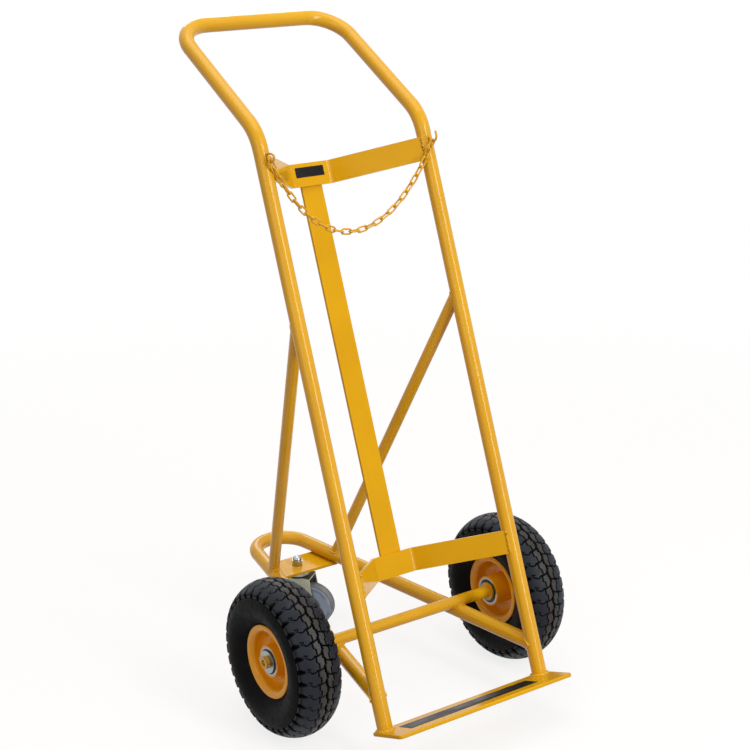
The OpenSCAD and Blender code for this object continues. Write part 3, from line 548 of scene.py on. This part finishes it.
class TROLLEY_OT_tyres(bpy.types.Operator):
    """Pneumatic tyres with block tread, stepped grooves and fine cuts"""

    bl_idname = "trolley.tyres"
    bl_label = "Tyres"

    # The section and the tread are drawn in mm on a tyre of this radius, with this many steps to a block
    DRAWN_R = 130.0
    STEPS = 24

    def execute(self, context):
        finish = tyre_rubber()
        for name, side in (("left_tyre", -1), ("right_tyre", 1)):
            self.build(name, side, finish)
        return {"FINISHED"}

    def profile(self):
        """Half of the section from the crown to the rim: block tops, groove floors and place across the tread."""
        crown, under, centre, bulge, tread_half = 52.0, 46.0, 78.0, 36.0, 36.5
        widest_r, widest_x = 92.0, 6.5
        across = np.arange(0.5, tread_half - 2.0, 1.0)
        top = [(centre + math.sqrt(crown**2 - x * x), x) for x in across]
        floor = [(centre + math.sqrt(under**2 - x * x), x) for x in across]
        place = list(across)
        edge = [(116.6, 34.9), (115.3, 35.9), (113.9, 36.7), (112.4, 37.3), (111.0, 37.6)]
        for i, point in enumerate(edge):
            top.append(point)
            floor.append((107.6 - 0.3 * i, 33.4 + 0.6 * i))
            place.append(tread_half - 1.5 + 1.4 * i)
        wall = [(110.0, 37.2), (109.4, 37.6), (108.0, 38.0), (107.4, 37.8), (106.2, 38.5), (104.4, 39.4), (102.2, 40.4),
                (99.6, 41.3), (96.8, 42.0), (94.4, 42.4)]
        for a in np.radians(np.arange(0, -57, -3.0)):
            wall.append((widest_r + bulge * math.sin(a), widest_x + bulge * math.cos(a)))
        seat_r, seat_x = 51.0, 25.4
        wall += [(59.0, seat_x), (seat_r, seat_x), (seat_r, 13.0)]
        return np.array(top), np.array(floor), np.array(place), np.array(wall)

    def cuts(self, turns, place, pitch):
        """Depth of the grooves, slots, fine cuts and dots over one pitch, from 0 to 1."""
        u = turns[:, None]
        x = place[None, :]

        def band(distance, half, soft=0.55):
            return np.clip((half - distance) / soft + 0.5, 0, 1)

        def step_wave(t):
            return np.clip(5.0 * np.sin(2 * math.pi * t / pitch), -1, 1)

        def stroke(ax, au, bx, bu, half):
            px, pu, dx, du = x - ax, u - au, bx - ax, bu - au
            t = np.clip((px * dx + pu * du) / (dx * dx + du * du), 0, 1)
            return band(np.hypot(px - t * dx, pu - t * du), half)

        outer_x, outer_swing, outer_half, outer_deep = 11.6, 1.6, 0.8, 0.7
        middle_half, middle_swing = 1.7, 1.0
        slot_slant, slot_x, slot_half, slot_deep = 0.34, 7.0, 1.0, 0.8
        notch_half, notch_x, notch_widens, notch_end = 0.7, 28.0, 0.42, 29.5
        hook, hook_half = ((24.2, 1.6), (21.6, 3.6), (18.0, 3.2), (14.2, 0.2)), 0.75
        dots, dot_half, fine_deep = ((28.2, -4.4), (24.8, -3.6), (26.4, -0.4)), 0.95, 0.6

        outer = outer_x + outer_swing * step_wave(u)
        depth = outer_deep * band(np.abs(x - outer), outer_half)
        depth = np.maximum(depth, band(x, middle_half + middle_swing * step_wave(u + pitch / 4)))
        slanted = u - slot_slant * (x - slot_x)
        slot = band(np.abs((slanted + pitch / 2) % pitch - pitch / 2), slot_half)
        depth = np.maximum(depth, slot_deep * slot * (x < outer))
        widen = notch_half + np.clip(x - notch_x, 0, 8) * notch_widens
        bent = np.abs(u + 0.01 * np.clip(x - 26, 0, 12) ** 2)
        depth = np.maximum(depth, band(bent, widen) * np.clip((x - notch_end) / 3, 0, 1))
        for (ax, au), (bx, bu) in zip(hook, hook[1:]):
            depth = np.maximum(depth, fine_deep * stroke(ax, au, bx, bu, hook_half))
        for dx, du in dots:
            depth = np.maximum(depth, fine_deep * stroke(dx, du, dx + 0.1, du, dot_half))
        return np.clip(depth, 0, 1)

    def build(self, name, side, finish):
        count, per = sizes().tread_count, self.STEPS
        top, floor, place, flat = self.profile()
        scale = sizes().tyre_r / self.DRAWN_R
        pitch = 2 * math.pi * self.DRAWN_R / count
        turns = (np.arange(per) + 0.5) / per * pitch - pitch / 2
        depth = np.tile(self.cuts(turns, place, pitch), (count, 1))
        total = count * per
        ledge_out, break_in, rib_out = (0.2, 0.6), (3.2, 2.2), 0.35
        halves = []
        for mirror, shift in ((1, 0), (-1, per // 2)):
            d = np.roll(depth, shift, 0)[:, :, None]
            tread = top[None] * (1 - d) + floor[None] * d
            wall = np.broadcast_to(flat[None], (total, *flat.shape)).copy()
            column = (np.arange(total) + shift + per // 2) % per
            ledge = (column > 3) & (column < per - 4)
            wall[ledge, 1:3] += ledge_out
            wall[~ledge, 0:4] -= break_in
            rib = column % (per // 2) < 2
            wall[rib, 5:8, 1] += rib_out
            half = np.concatenate([tread, wall], 1)
            half[:, :, 1] *= mirror
            halves.append(half)
        section = np.concatenate([halves[1][:, ::-1], halves[0]], 1) * scale
        angles = np.arange(total) / total * 2 * math.pi
        verts = about_axle(section[:, :, 0], section[:, :, 1], angles, side)
        cols = section.shape[1]
        faces = grid_faces(total, cols, True, True)
        if side < 0:
            faces = [f[::-1] for f in faces]
        tyre = add_mesh(name + "_moulded", verts, faces, finish, "left_wheel" if side < 0 else "right_wheel", 35.0)
        self.tint(tyre, depth, len(flat), per // 2, place)
        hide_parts(name)

    def tint(self, tyre, depth, walls, shift, place):
        """Paints the block tops, the grooves and the sides, with painted sheen on the tops and the shoulder ledge and
        painted shade in the grooves; the fourth number is the gloss.
        """
        c = colours()
        # Block tops take the tread's blue tint, a painted sheen of the top light.
        black, blue = np.array((*c.sidewall, 0.05)), np.array((*c.tread, 0.22))
        # Middle block tops are grey and glossier: part dust, part painted highlight.
        dust_and_highlight = np.array((*c.dust_and_highlight, 0.30))
        middle_end, edge_start, edge_w, sharp = 12.0, 36.0, 4.0, 2.2
        middle = np.clip(middle_end - place, 0, 1)[None, :, None]
        edge = np.clip((place - edge_start) / edge_w, 0, 1)[None, :, None]
        tops = blue * (1 - middle) + dust_and_highlight * middle
        tops = tops * (1 - edge) + black * edge
        halves = []
        for roll in (0, shift):
            d = np.clip(np.roll(depth, roll, 0) * sharp, 0, 1)[:, :, None]
            # Cuts and grooves are painted darker than the black sidewall: painted shade in the recesses.
            tread = tops * (1 - d) + black * (0.5, 0.5, 0.5, 0.2) * d
            wall = np.broadcast_to(black, (len(depth), walls, 4)).copy()
            column = (np.arange(len(depth)) + roll + shift) % (2 * shift)
            # The shoulder ledge is painted blue and glossier than the sidewall: painted highlight where it catches the
            # top light.
            wall[(column > 4) & (column < 2 * shift - 5), 1:3] = blue * (1, 1, 1, 1.4)
            halves.append(np.concatenate([tread, wall], 1))
        paint(tyre, np.concatenate([halves[1][:, ::-1], halves[0]], 1))


class TROLLEY_OT_rims(bpy.types.Operator):
    """Pressed rims with smooth dishes and rolled edges"""

    bl_idname = "trolley.rims"
    bl_label = "Rims"

    def execute(self, context):
        finish = bpy.data.materials["yellow_coat_on_rims"]
        angles = np.linspace(0, 2 * math.pi, 144, endpoint=False)
        half = self.section()
        loop = np.concatenate([half, half[::-1] * (1, -1)]) * MM
        for name, side in (("left_rim", -1), ("right_rim", 1)):
            radii = np.broadcast_to(loop[:, 0], (len(angles), len(loop)))
            verts = about_axle(radii, loop[:, 1], angles, side)
            faces = grid_faces(len(angles), len(loop), True, True)
            if side > 0:
                faces = [f[::-1] for f in faces]
            rim = add_mesh(name + "_pressed", verts, faces, finish, name.split("_")[0] + "_wheel", 35.0)
            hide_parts(name)
        return {"FINISHED"}

    def section(self):
        """Outside half of the section in mm, radius by place across: web, bowl, rounded flange, lip and tyre seat."""
        bore, web = 26.05, 2.5
        bowl, bowl_w, bowl_d = 33.0, 14.0, 17.5
        flange, flange_w, flange_d = 56.0, 9.0, 9.5
        lip, lip_x, lip_r = 58.85, 27.75, 1.75
        seat, seat_x = 50.5, 26.0
        back, back_w, back_d, gap = 35.5, 15.0, 23.5, 0.05
        quarter = np.radians(np.linspace(0, 90, 25))
        points = [(bore, web)]
        points += [(bowl + bowl_w * math.sin(a), web + bowl_d * (1 - math.cos(a))) for a in quarter]
        points += [(flange - flange_w * math.cos(a), web + bowl_d + flange_d * math.sin(a)) for a in quarter[1:]]
        points += [(lip + lip_r * math.sin(a), lip_x + lip_r * math.cos(a)) for a in 2 * quarter]
        points += [(seat, seat_x)]
        points += [(back + back_w * math.sin(a), gap + back_d * (1 - math.cos(a))) for a in quarter[::-1]]
        return np.array(points)


class TROLLEY_OT_welds(bpy.types.Operator):
    """Weld beads where the frame's pieces meet"""

    bl_idname = "trolley.welds"
    bl_label = "Welds"

    # Size of the beads beside those of the frame tubes
    STRUT_BEAD, FOOT_BEAD, CRADLE_BEAD = 0.85, 1.6, 0.8
    # Steps round a foot, and the one that its bead starts from
    STEPS, FIRST = 72, 30

    def execute(self, context):
        s = sizes()
        half, r, R = s.frame_w / 2, s.weld_r, s.tube_r
        slope, arm = s.loop_slope, arm_angle()
        axle_at = np.array((0.0, s.axle_y, s.axle_z))
        up = np.array((0.0, 0.0, 1.0))
        parts = []
        for side in (-1, 1):
            upright = np.array((side * half, 0.0, 0.0))
            run = np.array((-side * math.sin(arm), math.cos(arm) * math.cos(slope), math.cos(arm) * math.sin(slope)))
            arm_at = np.array((side * half, 0.0, s.loop_z))
            foot = np.array((side * (half - s.strut_foot_u * math.tan(arm)), s.strut_foot_u * math.cos(slope),
                             s.loop_z + s.strut_foot_u * math.sin(slope)))
            head = np.array((side * half, 0.0, s.strut_top_z))
            strut_r, strut_bead = s.strut_r, r * self.STRUT_BEAD
            parts.append(self.seam(tube_on_tube(arm_at, run, R, upright, up, R), r))
            parts.append(self.seam(tube_on_tube(head, foot - head, strut_r, upright, up, R), strut_bead))
            parts.append(self.seam(tube_on_tube(foot, head - foot, strut_r, arm_at, run, R), strut_bead))
            parts.append(self.seam(bar_over_bar(axle_at, (1.0, 0.0, 0.0), s.axle_r, arm_at, run, R), r))
            around = np.linspace(0, 2 * math.pi, self.STEPS, endpoint=False)
            rim = np.stack([side * half + R * np.cos(around), R * np.sin(around), 0 * around], 1)
            on_plate = rim[rim[:, 1] < s.toe_back - 0.1 * MM]
            parts.append(self.seam(np.roll(on_plate, self.FIRST, 0), r * self.FOOT_BEAD))
            for low, skip in ((s.lower_cradle_z, 0.0), (s.upper_cradle_z, s.chain_gap)):
                parts.append(bead(stand(self.cradle_end(side, low, skip)), r * self.CRADLE_BEAD, False))
        v, f = join(parts)
        seams = add_mesh("weld_seams", v, f, bpy.data.materials["yellow_powder_coat"], "frame", 60.0)
        return {"FINISHED"}

    def seam(self, path, radius):
        """A bead all round a joint of the upright drawing."""
        return bead(stand(path), radius, True)

    def cradle_end(self, side, low, skip):
        """Line where a cradle's front face runs into an upright, with the unsteady run of a hand weld.

        The first stretch is left out where the chain hangs against the upper cradle.
        """
        s = sizes()
        half, bend = s.frame_w / 2, np.array((s.cradle_panel_w / 2, s.cradle_depth))
        reach = math.hypot(half - bend[0], bend[1])
        lean = cradle_lean()
        set_back, wide_sway, fine_sway, steps = 2.5 * MM, 0.7 * MM, 0.4 * MM, 40
        run = math.sqrt(reach**2 - s.tube_r**2) - set_back
        spot = bend + run * np.array((math.cos(lean), -math.sin(lean)))
        rise = np.linspace(skip, s.cradle_h, steps)
        sway = wide_sway * np.sin(rise * 700.0) + fine_sway * np.sin(rise * 1730.0)
        return np.stack([side * (spot[0] + sway), np.full(steps, spot[1]), low + rise], 1)


class TROLLEY_OT_formed_steel(bpy.types.Operator):
    """Round folds of the cradles, the toe and caster plates as cut, and the chain's eye and hook"""

    bl_idname = "trolley.formed_steel"
    bl_label = "Formed Steel"

    def execute(self, context):
        self.folds()
        self.toe_plate()
        self.caster_plate()
        self.anchors()
        return {"FINISHED"}

    def add(self, name, verts, faces, finish, replaced=None):
        piece = add_mesh(name, verts, faces, bpy.data.materials[finish], "frame", 35.0)
        if replaced:
            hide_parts(replaced)

    def folds(self):
        """Round the inside of the cradles' folds."""
        s = sizes()
        bend = np.array((s.cradle_panel_w / 2, s.cradle_depth))
        lean = cradle_lean()
        reach = s.fold_r * math.tan(lean / 2)
        arc = [(bend[0] - reach + s.fold_r * math.sin(a), bend[1] - s.fold_r * (1 - math.cos(a)))
               for a in np.linspace(0, lean, 11)]
        sunk = (0.3 * MM, 0.6 * MM)
        short = 0.1 * MM
        outline = np.array(arc + [(bend[0] + sunk[0], bend[1] + sunk[1])])
        n = len(outline)
        parts = []
        for side in (-1, 1):
            for low in (s.lower_cradle_z, s.upper_cradle_z):
                levels = (low + short, low + s.cradle_h - short)
                verts = [(side * x, y, z) for z in levels for x, y in outline]
                faces = grid_faces(2, n, False, True) + [tuple(range(n - 1, -1, -1)), tuple(range(n, 2 * n))]
                if side > 0:
                    faces = [f[::-1] for f in faces]
                parts.append((stand(np.array(verts)), faces))
        self.add("cradle_folds", *join(parts), "yellow_powder_coat")

    def toe_plate(self):
        """The toe plate with round corners and edges; the uprights stand in the notches at its back."""
        s = sizes()
        half, edge = s.frame_w / 2, s.toe_edge
        at = stand((0.0, 0.0, 0.0))
        right, back, up = (np.array(turn(v)) for v in ((1, 0, 0), (0, 1, 0), (0, 0, 1)))
        points = cad_points("toe_plate") - at
        x, y, z = points @ right, points @ back, points @ up
        notch = np.hypot(np.abs(x) - half, y).min()
        rear_corner, notch_edge, rim = 0.4 * s.toe_corner, 0.3, 1.4 * edge
        outline = []
        for cy, radius, inward, start in ((y.min(), s.toe_corner, 1, -90), (y.max(), rear_corner, -1, 0)):
            for a in np.radians(np.linspace(start, start + 90, 9)):
                outline.append((x.max() - radius + radius * math.cos(a), cy + inward * radius + radius * math.sin(a)))
        outline.append((half + notch, y.max()))
        outline += [(half + notch * math.cos(a), notch * math.sin(a)) for a in np.linspace(0, -math.pi, 25)]
        outline.append((half - notch, y.max()))
        outline = np.array(outline + [(-px, py) for px, py in reversed(outline)])
        ahead = np.roll(outline, -1, 0) - outline
        ahead /= np.linalg.norm(ahead, axis=1)[:, None]
        side = np.stack([-ahead[:, 1], ahead[:, 0]], 1)
        before = np.roll(side, 1, 0)
        inset = (side + before) / (1 + (side * before).sum(1))[:, None]
        in_notch = (np.abs(np.abs(outline[:, 0]) - half) < notch + SAME) & (outline[:, 1] > -notch - SAME)
        inset[in_notch, 0] *= notch_edge
        inset[in_notch & (outline[:, 1] < y.max() - SAME), 1] *= notch_edge
        bend = [(edge * (1 - math.sin(a)), edge * (1 - math.cos(a))) for a in np.radians(np.linspace(0, 90, 5))]
        levels = [(rim, z.min())] + [(share, z.min() + rise) for share, rise in bend]
        levels += [(share, z.max() - drop) for share, drop in reversed(bend)] + [(rim, z.max())]
        verts = [at + px * right + py * back + h * up for share, h in levels for px, py in outline + share * inset]
        n = len(outline)
        faces = grid_faces(len(levels), n, False, True)
        faces += [tuple(range(n - 1, -1, -1)), tuple(range((len(levels) - 1) * n, len(levels) * n))]
        self.add("toe_plate_rounded", verts, faces, "yellow_coat_on_flats", "toe_plate")

    def caster_plate(self):
        """The plate's ends follow the arms of the loop, so that no corner stands out beyond them."""
        s = sizes()
        pin = np.array(JOINTS["caster_swivel"]["pos_m"])
        up = np.array(JOINTS["caster_swivel"]["axis"])
        right = np.array((1.0, 0.0, 0.0))
        ahead = np.cross(up, right)
        points = cad_points("caster_plate") - pin
        low, high = (points @ up).min(), (points @ up).max()
        wide, deep = np.abs(points @ right).max(), np.abs(points @ ahead).max()
        bore = np.hypot(points @ right, points @ ahead).min()
        short, edge, steps = 0.5 * MM, 0.4 * MM, 24
        taper = deep * math.tan(arm_angle())
        middle = wide - s.tube_r + taper - short
        corners = [(middle - taper, deep), (taper - middle, deep), (-middle - taper, -deep), (middle + taper, -deep)]
        outer = []
        for (ax, ay), (bx, by) in zip(corners, corners[1:] + corners[:1]):
            outer += [(ax + (bx - ax) * t, ay + (by - ay) * t) for t in np.linspace(0, 1, steps, endpoint=False)]
        outer = np.array(outer)
        inner = bore * outer / np.linalg.norm(outer, axis=1)[:, None]
        soft = 1 - edge / np.linalg.norm(outer, axis=1)[:, None]
        rings = ((inner, low), (outer * soft, low), (outer, low + edge), (outer, high - edge), (outer * soft, high),
                 (inner, high))
        verts = [pin + x * right + y * ahead + z * up for ring, z in rings for x, y in ring]
        self.add("caster_plate_cut", verts, grid_faces(len(rings), len(outer), True, True),
                 "yellow_coat_on_flats", "caster_plate")

    def anchors(self):
        """Flattened eye and short hook that the chain hangs on, in the planes square to the swing axis."""
        s = sizes()
        for name in ("chain_eye", "chain_hook"):
            points = cad_points(name)
            at = np.array(JOINTS["chain_swing"]["pos_m"])
            at[0] = (points[:, 0].min() + points[:, 0].max()) / 2
            wire = (points[:, 0].max() - points[:, 0].min()) / 2
            r = -(points[:, 1].min() - at[1]) - wire if name == "chain_eye" else s.hook_r
            if name == "chain_eye":
                turns = np.linspace(0, 2 * math.pi, 64, endpoint=False)
                rise = np.where(np.sin(turns) > 0, s.eye_rise, r) * np.sin(turns)
                path = at + np.stack([0 * turns, r * np.cos(turns), rise], 1)
                verts, faces = bead(path, wire, True, flat=1.0, ripple=0.0, sides=14)
            else:
                turns = np.linspace(0, -math.pi, 40)
                bow = [(0.0, r * math.cos(a), r * math.sin(a)) for a in turns]
                prong = [(0.0, -r, h) for h in np.linspace(0.0, s.prong_h, 16)[1:]]
                path = at + np.array([turn(p) for p in bow + prong])
                verts, faces = bead(path, wire, False, flat=1.0, ripple=0.0, sides=14)
            self.add(name + "_bent", verts, faces, "yellow_powder_coat", name)


class TROLLEY_OT_labels(bpy.types.Operator):
    """Two bare black labels: on the toe plate and on the upper cradle"""

    bl_idname = "trolley.labels"
    bl_label = "Labels"

    def execute(self, context):
        black = colours().label
        film, tree, shader = new_finish("black_label_film")
        worn = tuple(v * 1.6 for v in black)
        tone = two_tones(tree, speckle(tree, scale=60.0, detail=3.0), black, worn)
        uneven = between(tree, speckle(tree, scale=35.0), low=0.28, high=0.42)
        surface(tree, shader, tone, uneven, speckle(tree, scale=120.0), strength=0.05, distance=0.3 * MM)
        shader.inputs["Specular IOR Level"].default_value = 0.08
        s = sizes()
        across, back, up = (1, 0, 0), (0, 1, 0), (0, 0, 1)
        toe_at = (s.toe_label_x, s.toe_label_y, 0.0)
        cradle_at = (s.cradle_label_x, s.cradle_depth, s.cradle_label_z)
        self.film("toe_label", toe_at, across, back, s.toe_label_w, s.toe_label_d, s.label_t, film)
        self.film("cradle_label", cradle_at, across, up, s.cradle_label_w, s.cradle_label_h, s.label_t, film)
        return {"FINISHED"}

    def film(self, name, at, right, up, wide, high, thick, finish):
        """A thin plate with round corners and a softened edge."""
        right, up = np.array(right, float), np.array(up, float)
        out = np.cross(right, up)
        corner, lift, soft = 1.0 * MM, 0.05 * MM, 0.6 * MM
        edge = []
        for cx, cy, a0 in ((1, 1, 0), (-1, 1, 90), (-1, -1, 180), (1, -1, 270)):
            for a in np.radians(np.linspace(a0, a0 + 90, 7)):
                edge.append((cx * (wide / 2 - corner) + corner * math.cos(a),
                             cy * (high / 2 - corner) + corner * math.sin(a)))
        edge = np.array(edge)
        rings = [(1.0, lift), (1.0, thick * 0.7), (1 - soft / high, thick)]
        verts = [np.asarray(at) + e[0] * k * right + e[1] * k * up + z * out for k, z in rings for e in edge]
        n = len(edge)
        faces = grid_faces(3, n, False, True)
        faces.append(tuple(range(2 * n, 3 * n)))
        faces.append(tuple(range(n - 1, -1, -1)))
        piece = add_mesh(name, stand(np.array(verts)), faces, finish, "frame", 50.0)


class TROLLEY_OT_stage(bpy.types.Operator):
    """Pale floor, soft lights and the camera"""

    bl_idname = "trolley.stage"
    bl_label = "Stage"

    # What the backdrop and the floor send to the trolley; both look white or pale in the picture
    BACKDROP_LIGHT = (0.46, 0.375, 0.295)
    FLOOR_LIGHT, FLOOR_SEEN, FLOOR_HALF = (0.34, 0.285, 0.23), (0.95, 0.95, 0.95), 40.0
    # Share of plain white in the floor near the trolley and far away, and the distances between which it rises
    WHITE_NEAR, WHITE_FAR, NEAR, FAR = 0.80, 1.0, 0.6, 2.4
    # Name, place, aim, width, height and watts
    LAMPS = (
        ("key_softbox", (0.8, -2.6, 3.0), (0, 0, 0.5), 2.0, 2.0, 18),
        ("streak_strip", (0.5, -3.1, 1.9), (0, 0, 0.7), 0.7, 2.6, 60),
        ("fill_softbox", (-2.8, -1.4, 1.8), (0, 0, 0.5), 1.8, 1.8, 14),
        ("top_softbox", (0.0, 0.2, 3.4), (0, 0, 0.3), 2.4, 2.4, 38),
        ("rear_softbox", (1.2, 2.8, 2.2), (0, 0, 0.5), 1.4, 1.4, 19),
    )
    # Camera fitted to the photo, in the upright drawing
    EYE = (-1.52855, -2.23374, 0.56229)
    EYE_RIGHT, EYE_AHEAD = (0.81228, -0.54410, -0.21013), (0.55520, 0.83169, -0.00732)
    LENS, SENSOR = 80.98, 36.0

    def execute(self, context):
        scene = context.scene
        scene.view_settings.view_transform = "Standard"
        self.floor()
        self.lights(scene)
        self.camera(scene)
        return {"FINISHED"}

    def floor(self):
        mesh = bpy.data.meshes.new("studio_floor")
        h = self.FLOOR_HALF
        mesh.from_pydata([(-h, -h, 0), (h, -h, 0), (h, h, 0), (-h, h, 0)], [], [(0, 1, 2, 3)])
        finish, tree, shader = new_finish("pale_floor")
        seen = self.seen(tree)
        tone = two_tones(tree, seen, self.FLOOR_LIGHT, self.FLOOR_SEEN, start=0.0, end=1.0)
        tree.links.new(tone, shader.inputs["Base Color"])
        shader.inputs["Roughness"].default_value = 0.9
        shader.inputs["Specular IOR Level"].default_value = 0.1
        glow = node(tree, "ShaderNodeEmission", Color=(1, 1, 1, 1), Strength=1.0)
        mix = tree.nodes.new("ShaderNodeMixShader")
        place = tree.nodes.new("ShaderNodeTexCoord")
        away = tree.nodes.new("ShaderNodeVectorMath")
        away.operation = "LENGTH"
        tree.links.new(place.outputs["Object"], away.inputs[0])
        white = between(tree, away.outputs["Value"], self.WHITE_NEAR, self.WHITE_FAR, self.NEAR, self.FAR)
        tree.links.new(combine(tree, "MULTIPLY", white, seen), mix.inputs[0])
        tree.links.new(shader.outputs[0], mix.inputs[1])
        tree.links.new(glow.outputs[0], mix.inputs[2])
        tree.links.new(mix.outputs[0], tree.nodes["Material Output"].inputs["Surface"])
        mesh.materials.append(finish)
        floor = bpy.data.objects.new("studio_floor", mesh)
        bpy.context.scene.collection.objects.link(floor)

    def seen(self, tree):
        """1 on rays that show the backdrop, straight or in a reflection, and 0 on those that light the trolley."""
        rays = tree.nodes.new("ShaderNodeLightPath")
        seen = rays.outputs["Is Camera Ray"]
        for kind in ("Is Glossy Ray", "Is Transmission Ray"):
            seen = combine(tree, "MAXIMUM", seen, rays.outputs[kind])
        return seen

    def lights(self, scene):
        world = bpy.data.worlds.new("studio")
        scene.world = world
        world.use_nodes = True
        tree = world.node_tree
        back = tree.nodes["Background"]
        sky = two_tones(tree, self.seen(tree), self.BACKDROP_LIGHT, (1, 1, 1), start=0.0, end=1.0)
        tree.links.new(sky, back.inputs["Color"])
        back.inputs["Strength"].default_value = 1.0
        for name, at, aim, wide, high, power in self.LAMPS:
            lamp = bpy.data.lights.new(name, "AREA")
            lamp.shape = "RECTANGLE"
            lamp.size = wide
            lamp.size_y = high
            lamp.energy = power
            holder = bpy.data.objects.new(name, lamp)
            holder.location = at
            holder.rotation_euler = (Vector(aim) - Vector(at)).to_track_quat("-Z", "Y").to_euler()
            scene.collection.objects.link(holder)

    def camera(self, scene):
        right = turn(self.EYE_RIGHT).normalized()
        back = -turn(self.EYE_AHEAD).normalized()
        up = back.cross(right).normalized()
        right = up.cross(back).normalized()
        lens = bpy.data.cameras.new("photo_view")
        lens.lens = self.LENS
        lens.sensor_width = self.SENSOR
        lens.clip_end = 100.0
        view = bpy.data.objects.new("photo_view", lens)
        turned = Matrix((right, up, back)).transposed().to_4x4()
        view.matrix_world = Matrix.Translation(Vector(stand(self.EYE))) @ turned
        scene.collection.objects.link(view)
        scene.camera = view


class TROLLEY_PT_pieces(bpy.types.Panel):
    """Lists the trolley's pieces, sizes and colours"""

    bl_label = "Trolley"
    bl_idname = "TROLLEY_PT_pieces"
    bl_space_type = "VIEW_3D"
    bl_region_type = "UI"
    bl_category = "Trolley"

    def draw(self, context):
        for operator in OPERATORS:
            self.layout.operator(operator.bl_idname)
        for group in (context.scene.trolley_sizes, context.scene.trolley_colours):
            for name in group.__annotations__:
                self.layout.prop(group, name)


OPERATORS = (
    TROLLEY_OT_stage,
    TROLLEY_OT_paintwork,
    TROLLEY_OT_hardware,
    TROLLEY_OT_caster_wheel,
    TROLLEY_OT_tyres,
    TROLLEY_OT_rims,
    TROLLEY_OT_welds,
    TROLLEY_OT_formed_steel,
    TROLLEY_OT_labels,
)
CLASSES = (TrolleySizes, TrolleyColours, *OPERATORS, TROLLEY_PT_pieces)


def register():
    for cls in CLASSES:
        bpy.utils.register_class(cls)
    bpy.types.Scene.trolley_sizes = bpy.props.PointerProperty(type=TrolleySizes)
    bpy.types.Scene.trolley_colours = bpy.props.PointerProperty(type=TrolleyColours)


def unregister():
    del bpy.types.Scene.trolley_colours
    del bpy.types.Scene.trolley_sizes
    for cls in reversed(CLASSES):
        bpy.utils.unregister_class(cls)


def main():
    register()
    for operator in OPERATORS:
        group, name = operator.bl_idname.split(".")
        getattr(getattr(bpy.ops, group), name)()


if __name__ == "__main__":
    main()
